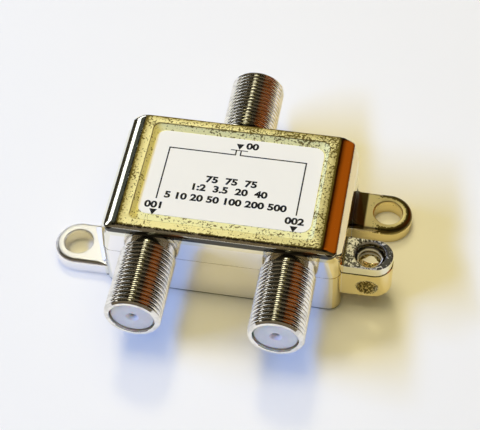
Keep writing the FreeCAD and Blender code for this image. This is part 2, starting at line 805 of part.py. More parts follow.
def make_resistor():
    """The chip resistor between the outputs: a ceramic block with metal end caps in one piece."""
    body = new_body("isolation_resistor")
    outline = new_sketch(body, "outline", "XY_Plane")
    x = "resistor_length / 2"
    y = "resistor_width / 2"
    draw_rectangle(outline, f"-{x}", f"-{y}", x, y)
    add_pad(body, "block", outline, "resistor_thick")
    waist = new_sketch(body, "waist", "XY_Plane", "resistor_thick")
    inner = "(resistor_length / 2 - resistor_cap)"
    far = "(resistor_width / 2 + resistor_cap)"
    draw_rectangle(waist, f"-{inner}", f"-{far}", inner, far)
    cut_pocket(body, "step", waist, "resistor_step")
    set_place(body, y="resistor_y", z="board_height")


def make_capacitor(name, x, y):
    """A disc capacitor that stands on its two leads."""
    body = new_body(f"{name}_capacitor")
    outline = new_sketch(body, "outline", "XZ_Plane", "-disc_thickness / 2")
    draw_circle(outline, "0", "disc_lift + disc_radius", "disc_radius")
    disc = add_pad(body, "disc", outline, "disc_thickness")
    rims = [number for number, edge in enumerate(disc.Shape.Edges, start=1) if edge.isClosed()]
    soften(body, "rounding", disc, rims, "disc_edge")
    leads = new_sketch(body, "leads", "XY_Plane")
    for side in (-1, 1):
        draw_circle(leads, f"{side} * disc_lead_spacing / 2", "0", "disc_lead")
    add_pad(body, "lead_pins", leads, "disc_lift + disc_radius")
    set_place(body, x, y, "board_height")


def make_choke(name, x, y, along_y):
    """A ferrite rod with a single layer of wire, lying just above the board."""
    turned = FreeCAD.Rotation(FreeCAD.Vector(1, 0, 0), 90)
    if not along_y:
        turned = FreeCAD.Rotation(FreeCAD.Vector(0, 1, 0), 90)
    body = new_body(f"{name}_choke_core")
    outline = new_sketch(body, "outline", "XY_Plane", "-rod_length / 2")
    draw_circle(outline, "0", "0", "rod_radius")
    add_pad(body, "rod", outline, "rod_length")
    set_place(body, x, y, "rod_axis", turned)
    coil = new_body(f"{name}_choke_winding")
    ring = new_sketch(coil, "wire_ring", "XZ_Plane")
    draw_circle(ring, "coil_radius", "-coil_pitch * coil_turns / 2", "coil_wire")
    helix = coil.newObject("PartDesign::AdditiveHelix", "helix")
    helix.Profile = ring
    helix.ReferenceAxis = (ring, ["V_Axis"])
    helix.Mode = "pitch-turns-angle"
    helix.Pitch = value("coil_pitch")
    bind(helix, "Pitch", "coil_pitch")
    helix.Turns = value("coil_turns")
    bind(helix, "Turns", "coil_turns")
    doc.recompute()
    set_place(coil, x, y, "rod_axis", turned)


def make_diode(name, side):
    """A glass diode on bent leads that stand on the board."""
    body = new_body(f"{name}_diode")
    path = new_sketch(body, "lead_path", "XZ_Plane")
    axis = "(diode_lift + diode_radius)"
    draw_lead_path(path, axis)
    ring = new_sketch(body, "lead_ring", "XY_Plane")
    draw_circle(ring, "-diode_span / 2", "0", "diode_lead")
    leads = body.newObject("PartDesign::AdditivePipe", "leads")
    leads.Profile = ring
    leads.Spine = path
    doc.recompute()
    barrel = new_sketch(body, "barrel", "YZ_Plane", "-diode_length / 2")
    draw_circle(barrel, "0", axis, "diode_radius")
    add_pad(body, "glass", barrel, "diode_length")
    set_place(body, f"{side} * diode_x", "diode_y", "board_height")


def draw_lead_path(sketch, axis):
    """The line of a lead: up from the board, over through the diode and down again."""
    half = value("diode_span / 2")
    bend = value("diode_bend")
    top = value(axis)
    corner = half - bend
    low = top - bend
    points = [(-half, 0), (-half, low), (-corner, top), (corner, top), (half, low), (half, 0)]
    places = [FreeCAD.Vector(x, y, 0) for x, y in points]
    up = FreeCAD.Vector(0, 0, 1)
    left = Part.Circle(FreeCAD.Vector(-corner, low, 0), up, bend)
    right = Part.Circle(FreeCAD.Vector(corner, low, 0), up, bend)
    sketch.addGeometry(Part.LineSegment(places[0], places[1]), False)
    sketch.addGeometry(Part.ArcOfCircle(left, math.pi / 2, math.pi), False)
    sketch.addGeometry(Part.LineSegment(places[2], places[3]), False)
    sketch.addGeometry(Part.ArcOfCircle(right, 0, math.pi / 2), False)
    sketch.addGeometry(Part.LineSegment(places[4], places[5]), False)
    for first, end, second, start in ((0, 2, 1, 2), (1, 1, 2, 1), (2, 2, 3, 2), (3, 1, 4, 1)):
        sketch.addConstraint(Sketcher.Constraint("Tangent", first, end, second, start))
    pin_point(sketch, 0, 1, "-diode_span / 2", "0")
    pin_point(sketch, 1, 3, "diode_bend - diode_span / 2", f"{axis} - diode_bend")
    pin_point(sketch, 3, 3, "diode_span / 2 - diode_bend", f"{axis} - diode_bend")
    pin_point(sketch, 4, 2, "diode_span / 2", "0")
    doc.recompute()


def make_terminal_joints():
    """The cones of solder under the board, one around each tail."""
    body = new_body("terminal_joints")
    for name, x, y in TAILS:
        section = new_sketch(body, f"{name}_section", "XZ_Plane", f"-({y})")
        draw_polygon(section, [
            (f"{x} + tail_radius", "0"),
            (f"{x} + tail_radius", "-solder_height"),
            (f"{x} + solder_top", "-solder_height"),
            (f"{x} + solder_radius", "0"),
        ])
        stand_axis(section, x)
        turn(body, f"{name}_cone", section, axis="Axis0")
    set_place(body, z="board_bottom")


def make_ground_joints():
    """The beads of solder between the board and the side walls of the casting."""
    body = new_body("ground_joints")
    section = new_sketch(body, "section", "XZ_Plane", "-ground_solder_length / 2")
    for side in (-1, 1):
        wall = f"{side} * cavity_half_width"
        toe = f"{side} * (cavity_half_width - ground_solder_leg)"
        draw_polygon(section, [(wall, "0"), (toe, "0"), (wall, "-ground_solder_leg")])
    add_pad(body, "beads", section, "ground_solder_length")
    set_place(body, z="board_bottom")


def make_plate():
    """The back plate, let into the rebate of the casting."""
    body = new_body("back_plate")
    outline = new_sketch(body, "outline", "XY_Plane")
    half_x = "cavity_half_width + plate_ledge - plate_gap"
    half_y = "cavity_half_depth + plate_ledge - plate_gap"
    draw_rounded(outline, half_x, half_y, "(plate_corner - plate_gap)")
    add_pad(body, "sheet", outline, "plate_thickness")
    set_place(body, z="plate_depth")


def make_bead():
    """The sealing bead that fills the rebate under the edge of the back plate."""
    body = new_body("back_seal")
    outline = new_sketch(body, "outline", "XY_Plane")
    half_x = "cavity_half_width + plate_ledge"
    half_y = "cavity_half_depth + plate_ledge"
    draw_rounded(outline, half_x, half_y, "plate_corner")
    inner_x = "cavity_half_width + plate_ledge - bead_width"
    inner_y = "cavity_half_depth + plate_ledge - bead_width"
    draw_rounded(outline, inner_x, inner_y, "(plate_corner / 2)")
    add_pad(body, "frame", outline, "plate_depth - bead_relief")
    set_place(body, z="bead_relief")


def make_everything():
    """Every piece of the splitter."""
    make_housing()
    for name in PORTS:
        make_port(name)
        make_insulator(name)
        make_contact(name)
    make_label()
    make_board()
    make_core("matching", "matching_y")
    make_winding("matching", "matching_y", "matching_loops")
    make_core("splitting", "splitting_y")
    make_winding("splitting", "splitting_y", "splitting_loops")
    make_resistor()
    make_capacitor("out_1", "-out_disc_x", "out_disc_y")
    make_capacitor("out_2", "out_disc_x", "out_disc_y")
    make_capacitor("in", "in_disc_x", "in_disc_y")
    make_choke("out_1", "-out_rod_x", "out_rod_y", True)
    make_choke("out_2", "out_rod_x", "out_rod_y", True)
    make_choke("in", "in_rod_x", "in_rod_y", False)
    make_diode("out_1", -1)
    make_diode("out_2", 1)
    make_terminal_joints()
    make_ground_joints()
    make_plate()
    make_bead()
    doc.recompute()


def pieces():
    """The bodies that become files."""
    return [thing for thing in doc.Objects if thing.TypeId == "PartDesign::Body"]


def check_document():
    """Stop on any failed object or unsound shape."""
    for thing in doc.Objects:
        if "Invalid" in thing.State or "Error" in thing.State:
            raise RuntimeError(f"{thing.Label} did not build")
    for piece in pieces():
        shape = piece.Shape
        if shape.isNull() or not shape.isValid() or not shape.Solids:
            raise RuntimeError(f"{piece.Label} has no sound shape")


def write_pieces():
    """One STEP file for each piece, named after it."""
    os.makedirs("parts", exist_ok=True)
    for piece in pieces():
        piece.Shape.exportStep(f"parts/{piece.Label}.step")
        print(f"{piece.Label}: {len(piece.Shape.Solids)} solid, {piece.Shape.Volume:.1f} mm3")


make_everything()
check_document()
write_pieces()
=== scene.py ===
"""Dresses the coaxial splitter: casting, threaded ports, plastic cores, label and studio.

Millimetres in the comments, metres in the file. X runs to the right and Y to the back as the
label is read, Z up, with the origin on the mounting surface under the middle of the box.
"""
import math

import bmesh
import bpy
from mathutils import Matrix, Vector


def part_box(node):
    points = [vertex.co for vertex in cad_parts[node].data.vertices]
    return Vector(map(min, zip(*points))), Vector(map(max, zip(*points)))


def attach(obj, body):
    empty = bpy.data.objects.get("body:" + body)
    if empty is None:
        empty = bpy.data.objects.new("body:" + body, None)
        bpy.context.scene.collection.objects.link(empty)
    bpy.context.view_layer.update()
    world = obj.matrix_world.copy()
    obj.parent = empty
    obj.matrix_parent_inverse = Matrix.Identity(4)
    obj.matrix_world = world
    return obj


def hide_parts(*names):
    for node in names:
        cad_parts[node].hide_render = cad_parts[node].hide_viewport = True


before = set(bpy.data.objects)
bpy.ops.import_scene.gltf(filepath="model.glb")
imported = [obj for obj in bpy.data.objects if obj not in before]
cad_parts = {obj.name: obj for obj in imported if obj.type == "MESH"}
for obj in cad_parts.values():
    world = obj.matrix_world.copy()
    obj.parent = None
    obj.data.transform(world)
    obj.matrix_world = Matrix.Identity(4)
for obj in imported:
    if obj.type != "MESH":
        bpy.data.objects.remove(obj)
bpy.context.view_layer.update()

bl_info = {
    "name": "Coaxial splitter",
    "version": (1, 0, 0),
    "blender": (4, 5, 0),
    "location": "View3D > Sidebar > Splitter",
    "description": "Builds the pieces and finishes of a two-way coaxial splitter",
    "category": "Add Mesh",
}

MM = 0.001

# How close two heights or places are that count as the same, and how far the middle of a flat
# side may lie inside a round edge.
NEAR = 0.005 * MM
SLACK = 0.2 * MM

# How deep the ears, their roots and the lug reach into the wall, and the rounding of the ears'
# holes and of the lug's edges.
INTO_WALL = 1.0 * MM
SMALL_ROUND = 0.22 * MM

# The lug: its middle along Y and its moulding line, the way from the wall to its tapped hole and
# that hole's radius, and the height and radius of the hole for the wire.
LUG_Y = -8.1 * MM
LUG_PARTING = 9.3 * MM
TAP_REACH = 4.35 * MM
TAP_RADIUS = 2.4 * MM
WIRE_HEIGHT = 6.1 * MM
WIRE_RADIUS = 1.75 * MM

# The ports: how high above the wall the wide bore ends, and the radius below it.
BORE_FLOOR = 3.5 * MM
STEM_BORE = 2.45 * MM

# The label's underside and thickness, and the thickness of its print.
LABEL_LEVEL = 15.4 * MM
LABEL_THICK = 0.12 * MM
PRINT_THICK = 0.008 * MM


def length_prop(name, description, millimetres):
    """A length that a user may change, in scene units."""
    return bpy.props.FloatProperty(
        name=name, description=description, default=millimetres * MM, min=0.0, unit="LENGTH", precision=5
    )


def colour_prop(name, description, colour):
    """A colour that a user may change."""
    return bpy.props.FloatVectorProperty(
        name=name, description=description, default=colour, size=3, min=0.0, max=1.0, subtype="COLOR"
    )


def power_prop(name, description, watts):
    """A lamp's power that a user may change."""
    return bpy.props.FloatProperty(name=name, description=description, default=watts, min=0.0, unit="POWER")


class SplitterCasting(bpy.types.PropertyGroup):
    """Sizes of the casting."""

    half_width: length_prop("Half width", "Half the width of the box without its ears", 20.45)
    half_depth: length_prop("Half depth", "Half the depth of the box", 12.7)
    corner: length_prop("Corner", "Radius of the upright corners", 2.0)
    shoulder_corner: length_prop("Shoulder corner", "Radius of the corners at the shoulder", 3.0)
    parting: length_prop("Parting line", "Height of the moulding line", 9.2)
    chamfer: length_prop("Chamfer", "Height where the slope up to the lid begins", 13.4)
    shoulder: length_prop("Shoulder", "Height where the slope meets the lid", 14.6)
    lid_edge: length_prop("Lid edge", "Height of the lid's upright lip", 15.24)
    top: length_prop("Top", "Height of the rim around the label", 16.4)


class SplitterEars(bpy.types.PropertyGroup):
    """Sizes of the screw ears and of the grounding lug."""

    radius: length_prop("Ear radius", "Radius of an ear's end", 4.25)
    thickness: length_prop("Ear thickness", "Thickness of an ear", 2.95)
    reach: length_prop("Ear reach", "From the wall to the middle of the screw hole", 5.9)
    offset: length_prop("Ear offset", "From the middle of the box to the screw hole, along Y", 7.3)
    hole: length_prop("Ear hole", "Radius of the screw hole", 2.5)
    edge: length_prop("Ear edge", "Rounding of an ear's top edge", 0.8)
    lug_radius: length_prop("Lug radius", "Radius of the grounding lug's end", 3.0)
    lug_top: length_prop("Lug top", "Height of the lug's top", 11.4)
    lug_bottom: length_prop("Lug bottom", "Height of the lug's underside", 3.5)


class SplitterPorts(bpy.types.PropertyGroup):
    """Sizes of the threaded ports."""

    radius: length_prop("Thread radius", "Radius over the thread's crests", 4.75)
    depth: length_prop("Thread depth", "Depth of the thread", 0.45)
    pitch: length_prop("Thread pitch", "From one crest to the next", 0.79375)
    length: length_prop("Length", "How far a port stands out of the wall", 13.5)
    height: length_prop("Height", "Height of the ports' axis", 10.3)
    bore: length_prop("Bore", "Radius of the hollow that holds the plastic core", 3.8)
    spacing: length_prop("Spacing", "From one output to the other", 23.64)


class SplitterColours(bpy.types.PropertyGroup):
    """Colours of the finishes."""

    casting: colour_prop("Casting plate", "Warm nickel over the zinc casting", (0.88, 0.86, 0.75))
    port: colour_prop("Port plate", "Bright nickel over the brass ports", (0.90, 0.87, 0.80))
    plastic: colour_prop("Plastic", "Cores of the ports", (0.87, 0.87, 0.94))
    label: colour_prop("Label", "Face of the label", (0.88, 0.86, 0.79))
    ink: colour_prop("Ink", "Print on the label", (0.012, 0.012, 0.012))
    rim: colour_prop("Rim", "Coarse rim around the label", (0.96, 0.89, 0.56))
    # This rim colour is a painted dark reflection on the rim's outer part.
    rim_dark_reflection: colour_prop("Worn rim", "Outer part of the rim, where the plate is thin", (0.40, 0.30, 0.06))
    bed: colour_prop("Bed", "Floor of the recess around the label", (0.90, 0.86, 0.43))
    hole: colour_prop("Hole", "Inside the wire hole and on the tapped hole's floor", (0.92, 0.76, 0.34))
    # This plate colour is painted light on the places it covers.
    painted_light_plate: colour_prop("Pale plate", "Top of the lug, left ear and front wall", (0.97, 0.95, 0.93))
    # This colour serves the specks and the painted shade on the rim, the ears and the holes.
    speck_and_shade_colour: colour_prop("Dirt", "Specks on the rim, on the ears and in the hole", (0.15, 0.11, 0.025))


class SplitterStudio(bpy.types.PropertyGroup):
    """Floor, lamps and camera."""

    overhead: power_prop("Overhead lamp", "Power of the warm lamp above", 7.2)
    window: power_prop("Window", "Power of the cool light from the left", 26.0)
    back: power_prop("Back lamp", "Power of the warm lamp behind", 3.3)
    soft: power_prop("Soft box", "Power of the wide soft light above", 13.8)
    lens: bpy.props.FloatProperty(
        name="Lens", description="Focal length of the camera in millimetres", default=105.982, min=1.0
    )


class Wire:
    """One socket of a shader tree, with the usual signs for sums."""

    def __init__(self, tree, socket):
        self.tree = tree
        self.socket = socket

    def node(self, kind, settings=None, sockets=None, out=0):
        """Any other node of the tree, with its settings and what feeds its sockets."""
        made = self.tree.nodes.new(kind)
        for name, choice in (settings or {}).items():
            setattr(made, name, choice)
        for name, feed in (sockets or {}).items():
            if isinstance(feed, Wire):
                self.tree.links.new(feed.socket, made.inputs[name])
            else:
                made.inputs[name].default_value = feed
        return Wire(self.tree, made.outputs[out])

    def sum(self, operation, *feeds):
        """What a Math node makes of these numbers and wires."""
        return self.node("ShaderNodeMath", {"operation": operation}, dict(enumerate(feeds)))

    def __add__(self, other):
        return self.sum("ADD", self, other)

    def __sub__(self, other):
        return self.sum("SUBTRACT", self, other)

    def __rsub__(self, other):
        return self.sum("SUBTRACT", other, self)

    def __mul__(self, other):
        return self.sum("MULTIPLY", self, other)

    def __pow__(self, other):
        return self.sum("POWER", self, other)

    def most(self, other):
        return self.sum("MAXIMUM", self, other)

    def size(self):
        """This without its sign."""
        return self.sum("ABSOLUTE", self)

    def sign(self):
        """Its sign alone, as -1, 0 or 1."""
        return self.sum("SIGN", self)

    def reach(self, other):
        """How far from an axis a point is, from its distances in two directions."""
        return (self * self + other * other) ** 0.5

    def wave(self, length):
        """A sine wave of the given length."""
        turn = self * (math.tau / length)
        return turn.sum("SINE", turn)

    def step(self, low, high, start=0.0, end=1.0):
        """Goes smoothly from start at low to end at high."""
        settings = {"interpolation_type": "SMOOTHSTEP"}
        sockets = {"Value": self, 1: low, 2: high, 3: start, 4: end}
        return self.node("ShaderNodeMapRange", settings, sockets)

    def past(self, start, full):
        """0 up to start and 1 from full on, in millimetres; start may be the larger one."""
        return self.step(start * MM, full * MM)

    def within(self, start, low, high, end):
        """1 from low to high, 0 up to start and from end on, in millimetres."""
        return self.past(start, low) * self.past(end, high)

    def axis(self, letter):
        """One coordinate of a vector."""
        return self.node("ShaderNodeSeparateXYZ", None, {0: self}, "XYZ".index(letter))

    def noise(self, size, detail=2.0, rough=0.5):
        """Noise whose lumps are about the given size across, from 0 to 1."""
        sockets = {"Vector": self, "Scale": 1.0 / size, "Detail": detail, "Roughness": rough}
        return self.node("ShaderNodeTexNoise", None, sockets)

    def stretch(self, x=1.0, y=1.0, z=1.0):
        """The same coordinates, squeezed or stretched."""
        return self.node("ShaderNodeMapping", None, {"Vector": self, "Scale": (x, y, z)})

    def blend(self, first, second):
        """From the first colour to the second as this goes from 0 to 1.

        A Mix node takes its factor at input 0 and the colours at 6 and 7, and gives one at 2.
        """
        first, second = (feed if isinstance(feed, Wire) else (*feed, 1.0) for feed in (first, second))
        return self.node("ShaderNodeMix", {"data_type": "RGBA"}, {0: self, 6: first, 7: second}, 2)

    def bump(self, height):
        """A normal from this height, which runs from 0 to the given height in metres."""
        return self.node("ShaderNodeBump", None, {"Height": self, "Distance": height, "Strength": 1.0})


class Finish:
    """A material with one Principled shader, its constants set on the shader itself."""

    def __init__(self, name, **constants):
        self.material = bpy.data.materials.new(name)
        self.material.use_nodes = True
        self.tree = self.material.node_tree
        self.shader = self.tree.nodes["Principled BSDF"]
        for socket, number in constants.items():
            self.shader.inputs[socket.replace("_", " ")].default_value = number
        self.place = Wire(self.tree, self.tree.nodes.new("ShaderNodeTexCoord").outputs["Object"])

    def feed(self, socket, wire):
        """Tie a socket of the shader to something that varies."""
        self.tree.links.new(wire.socket, self.shader.inputs[socket])


def tint(colour, factor):
    """The colour made darker or lighter."""
    return tuple(min(1.0, part * factor) for part in colour)


def lid_rings(sizes):
    """Half sizes and corner radii of the lid, the rim around the label, its recess and its bed."""
    lid = (sizes.half_width - 0.9 * MM, sizes.half_depth - 0.1 * MM, 1.3 * MM)
    rim = (lid[0] - 2.35 * MM, lid[1] - 0.6 * MM, 0.7 * MM)
    recess = (rim[0] - 1.75 * MM, rim[1] - 1.4 * MM, 1.3 * MM)
    bed = (14.8 * MM, 9.8 * MM, 1.5 * MM)
    return lid, rim, recess, bed


def in_mm(*lengths):
    """Lengths in millimetres."""
    return [length / MM for length in lengths]


class CastingMasks:
    """Places of the casting as masks, 1 on the place and 0 off it, with sizes in millimetres."""

    def __init__(self, place):
        self.place = place
        self.x, self.y, self.z = (place.axis(letter) for letter in "XYZ")
        self.aside, self.behind = self.x.size(), self.y.size()
        self.sizes = bpy.context.scene.splitter_casting
        self.ears = bpy.context.scene.splitter_ears
        self.wall, self.deep = in_mm(self.sizes.half_width, self.sizes.half_depth)
        # From left to right: the plate gets yellower to the right as painted warm light, and the specks get
        # a little denser.
        self.right = self.x.past(-12.0, 30.0)
        self.beyond_wall = self.x.past(self.wall + 0.15, self.wall + 0.35)
        self.mask_lid()
        self.mask_walls()
        self.mask_ears()
        self.mask_lug()
        self.coarse = self.rim.most(self.ear).most(self.lug_top)

    def mask_lid(self):
        """The rim and its outer edges, the slope and bed inside it, the lid's steps and right side."""
        aside, behind, z = self.aside, self.behind, self.z
        lid, rim, recess, _ = lid_rings(self.sizes)
        lid_x, lid_y, rim_x, rim_y = in_mm(lid[0], lid[1], rim[0], rim[1])
        inner_x, inner_y = in_mm(recess[0], recess[1])
        top, lip, shoulder = in_mm(self.sizes.top, self.sizes.lid_edge, self.sizes.shoulder)
        on_rim = aside.past(rim_x + 0.25, rim_x) * behind.past(rim_y + 0.2, rim_y)
        self.rim = z.past(lip - 0.14, lip + 0.06) * on_rim
        # The rim's outer part at both sides and at the back, which gets a painted dark reflection.
        rim_back_dark_reflection = self.y.past(rim_y - 1.1, rim_y + 0.2)
        self.rim_dark_reflection = self.rim * aside.past(rim_x - 1.5, rim_x + 0.2).most(rim_back_dark_reflection)
        sides = aside.within(rim_x - 0.5, rim_x - 0.1, rim_x + 0.15, rim_x + 0.4)
        ends = behind.within(rim_y - 0.3, rim_y - 0.1, rim_y + 0.15, rim_y + 0.3)
        self.brink = (sides * z.past(top - 0.4, top - 0.2)).most(ends * z.past(top - 0.5, top - 0.3))
        inside = aside.past(inner_x + 0.09, inner_x + 0.03) * behind.past(inner_y + 0.09, inner_y + 0.03)
        inside = inside * z.past(top - 1.2, top - 1.1)
        self.bed = inside * z.past(top - 0.22, top - 0.27)
        # The recess wall under the rim and the lid's lip with the step in front get painted shade lines;
        # the lid's right edge gets a painted dark reflection.
        self.brow = inside * z.within(top - 0.27, top - 0.22, top - 0.06, top - 0.02)
        step_round = z.within(shoulder, shoulder + 0.1, lip - 0.12, lip - 0.02)
        step_front = z.within(shoulder - 0.05, shoulder + 0.05, lip + 0.32, lip + 0.42)
        self.steps = step_round.most(step_front * self.y.past(0.4 - lid_y, 0.2 - lid_y))
        self.lid_right = self.x.past(lid_x - 0.55, lid_x - 0.05) * z.past(lip - 0.34, lip - 0.24)

    def mask_walls(self):
        """The foot all round, the front wall and the flat right wall."""
        z, aside, wall, deep = self.z, self.aside, self.wall, self.deep
        chamfer = self.sizes.chamfer / MM
        # The foot gets a painted shade line; the front wall and the right wall get painted light.
        self.foot = z.past(0.45, 0.25) * aside.past(wall + 0.15, wall + 0.05)
        front = self.y.past(0.2 - deep, 0.1 - deep) * z.past(chamfer + 0.5, chamfer + 0.2)
        self.front_wall = front * aside.past(wall + 0.05, wall - 0.05)
        self.right_wall = self.x.within(wall - 0.05, wall - 0.01, wall + 0.03, wall + 0.07)

    def mask_ears(self):
        """The ears' tops and outer edges, and their roots; each ear lies on its own side of Y."""
        x, y, z, wall, ears = self.x, self.y, self.z, self.wall, self.ears
        along = y * x.sign()
        thick, near, far = in_mm(ears.thickness, ears.offset - ears.radius, ears.offset + ears.radius)
        ear = z.within(thick - 1.05, thick - 0.55, thick + 1.65, thick + 2.25) * along.past(1.5, 2.0)
        self.ear = ear * self.aside.past(wall + 0.15, wall + 0.75)
        from_hole = (self.aside - (self.sizes.half_width + ears.reach)).reach(along - ears.offset)
        # The ears' outer rounded edges; on the right ear's far side they get a painted dark reflection.
        self.ear_edge = from_hole.past(2.9, 3.5) * self.ear
        # The right ear's root gets a painted shade line; the left ear's root and the whole left side get
        # painted light.
        root = z.within(thick - 0.45, thick - 0.25, thick + 2.35, thick + 2.75)
        root = root * x.within(wall - 0.07, wall - 0.03, wall + 1.85, wall + 2.25)
        self.right_root = root * y.within(near - 0.25, near + 0.15, far - 0.15, far + 0.25)
        root = z.within(thick - 0.05, thick + 0.05, thick + 2.35, thick + 2.75)
        self.left_root = root * x.past(0.07 - wall, 0.03 - wall) * y.past(0.25 - near, -0.15 - near)
        self.left_side = x.past(-0.15 - wall, -0.35 - wall)

    def mask_lug(self):
        """The lug's top, its part above the moulding line, its holes and its thread."""
        y, z = self.y, self.z
        top, parting, lug_y = in_mm(self.ears.lug_top, LUG_PARTING, LUG_Y)
        tap, wire, wire_z = in_mm(TAP_RADIUS, WIRE_RADIUS, WIRE_HEIGHT)
        from_middle = self.x - (self.sizes.half_width + TAP_REACH)
        from_tap = from_middle.reach(y - LUG_Y)
        from_wire = from_middle.reach(z - WIRE_HEIGHT)
        # The lug's top and its part above the moulding line get painted light.
        self.lug_top = z.within(top - 0.3, top - 0.1, top + 0.2, top + 0.5) * self.beyond_wall
        self.lug_upper = z.past(parting, parting + 0.1) * self.beyond_wall
        wire_hole = from_wire.past(wire + 0.25, wire + 0.05) * y.past(lug_y + 3.1, lug_y + 2.9)
        tap_floor = from_tap.past(tap + 0.16, tap + 0.06) * z.past(wire_z + 2.8, wire_z + 2.3)
        self.hole = wire_hole.most(tap_floor)
        tapped = z.past(wire_z + 2.2, wire_z + 2.5) * self.beyond_wall
        # The tapped thread's crests get painted light, and its groove gets a painted shade line.
        self.crest = from_tap.past(tap - 0.24, tap - 0.34) * tapped * z.past(top - 0.2, top - 0.4)
        groove = from_tap.within(tap - 0.22, tap - 0.12, tap + 0.06, tap + 0.12)
        self.groove = groove * tapped * z.past(top - 0.3, top - 0.5)


def casting_specks_and_shade(at):
    """How dark the casting is painted: specks where it is coarse, painted shade lines in its creases and at
    its foot, and painted dark reflections on the lid's right edge and the right ear's far edge.
    """
    x, y = at.x, at.y
    denser = at.right * 0.045 + at.hole * 0.06 - at.ear * 0.15
    denser += at.brink * (x.past(16.4, 16.9) * 0.15 + 0.15)
    denser += at.lug_top * (x.past(24.0, 26.6) * 0.12 + 0.02)
    # Painted dark reflection: many more specks on the right ear's far rounded edge, so that edge reads
    # dark.
    denser += at.ear_edge * x.past(22.5, 27.0) * 0.42
    rim_ends = x.past(13.5, 17.0) * 0.02 + x.past(-16.0, -17.4) * 0.06
    denser += at.rim * (rim_ends + y.past(9.5, 11.2) * 0.05)
    fine, broad = at.place.noise(0.40 * MM, 2.0, 0.6), at.place.noise(2.4 * MM, 2.0)
    specks = (fine * 0.75 + broad * 0.30 + denser).step(0.595, 0.63)
    speck_and_shade_mask = specks * at.coarse.most(at.brink).most(at.hole) * 0.95
    # Painted shade: dark lines at the right ear's root, the lid's lip and the step under it, the recess
    # wall, the tapped thread's groove and the foot; along the lid's right edge a painted dark reflection.
    lines = (
        (at.right_root, 0.95),
        (at.steps, 0.95),
        (at.brow, 0.9),
        (at.groove, 0.9),
        (at.foot, 0.85),
        (at.lid_right, 0.6),
    )
    for line, darkness in lines:
        speck_and_shade_mask = speck_and_shade_mask.most(line * darkness)
    return speck_and_shade_mask


def casting_coat(at):
    """The clean plate's colour, yellower to the right as painted warm light, with the places that differ
    laid over it, among them painted light on the lighter places and the lug's upper part, and a painted
    dark reflection on the rim's outer part.
    """
    colours = bpy.context.scene.splitter_colours
    plate = colours.casting
    coat = at.right.blend(tint(plate, 1.03), (plate[0] * 1.04, plate[1] * 0.90, plate[2] * 0.54))
    # Lighter plate as painted light: the lug's top, the tapped thread's crests, the left ear's root, the
    # left side, the right wall and the front wall.
    painted_light_plate = at.lug_top.most(at.crest).most(at.left_root).most(at.left_side)
    painted_light_plate = painted_light_plate.most(at.right_wall).most(at.front_wall)
    coats = (
        # The lug's upper part is made lighter as painted light.
        (at.lug_upper, tint(plate, 1.06)),
        (at.rim, colours.rim),
        # The rim's outer part is made darker as a painted dark reflection.
        (at.rim_dark_reflection * 0.85, colours.rim_dark_reflection),
        (at.bed, colours.bed),
        (at.hole, colours.hole),
        (painted_light_plate, colours.painted_light_plate),
    )
    for place, colour in coats:
        coat = place.blend(coat, colour)
    return coat


def casting_finish():
    """Warm nickel over a casting: mirror-like, coarse on the rim, the ears and the lug."""
    colours = bpy.context.scene.splitter_colours
    finish = Finish("warm_nickel_casting")
    at = CastingMasks(finish.place)
    # Specks and painted shade are dark brown on the rim, the ears and the holes, and nearly black
    # elsewhere.
    speck_and_shade_colour = at.rim.most(at.ear).most(at.hole).blend(tint(colours.casting, 0.06), colours.speck_and_shade_colour)
    finish.feed("Base Color", casting_specks_and_shade(at).blend(casting_coat(at), speck_and_shade_colour))
    dull = at.bed * 0.85 + at.lug_top * 0.3 + at.crest * 0.7 + at.left_root * 0.9 + at.hole * 0.8
    finish.feed("Metallic", 1.0 - dull)
    grain = finish.place.noise(0.60 * MM, 3.0, 0.65)
    ripple = finish.place.noise(2.6 * MM, 1.0)
    rough = at.coarse * 0.24 + (at.hole + at.bed + at.right_root) * 0.35
    finish.feed("Roughness", rough + grain * 0.08 + 0.03)
    tooth = grain * (at.rim * 0.8 + at.ear * 0.2 + at.lug_top * 0.5 + 0.03)
    finish.feed("Normal", (ripple * 0.30 + tooth).bump(0.05 * MM))
    return finish.material


def port_finish():
    """Bright nickel over turned brass, darker down in the thread's grooves as painted shade."""
    ports = bpy.context.scene.splitter_ports
    plate = bpy.context.scene.splitter_colours.port
    finish = Finish("bright_nickel", Metallic=1.0)
    x, y, z = (finish.place.axis(letter) for letter in "XYZ")
    radius, bore, wall = in_mm(ports.radius, ports.bore, bpy.context.scene.splitter_casting.half_depth)
    end = wall + ports.length / MM
    front = y.past(0.1, -0.1)
    from_axis = (x.size() - front * (ports.spacing / 2)).reach(z - ports.height)
    # The thread's grooves, darkened as painted shade.
    groove = from_axis.past(radius - 0.16, radius - 0.34) * from_axis.past(bore + 0.25, bore + 0.35)
    groove = groove * y.size().within(wall + 0.7, wall + 0.9, end - 0.55, end - 0.45)
    grain = finish.place.stretch(1.0, 3.0, 1.0).noise(0.5 * MM, 2.0)
    spots = finish.place.noise(1.4 * MM, 3.0).step(0.45, 0.62)
    clean = spots.blend(tint(plate, 1.05), tint(plate, 0.86))
    finish.feed("Base Color", (groove * 0.65).blend(clean, tint(plate, 0.10)))
    finish.feed("Roughness", grain * 0.10 + 0.04)
    finish.feed("Normal", grain.bump(0.008 * MM))
    return finish.material


def plastic_finish():
    """Milky plastic with faint tool marks."""
    milk = bpy.context.scene.splitter_colours.plastic
    finish = Finish("milky_plastic", Subsurface_Weight=0.35, Subsurface_Scale=0.001, IOR=1.49)
    cloud = finish.place.noise(1.8 * MM, 2.0)
    finish.feed("Base Color", cloud.blend(tint(milk, 1.08), tint(milk, 0.9)))
    finish.feed("Roughness", cloud * 0.2 + 0.3)
    finish.feed("Normal", finish.place.noise(0.3 * MM, 2.0).bump(0.01 * MM))
    return finish.material


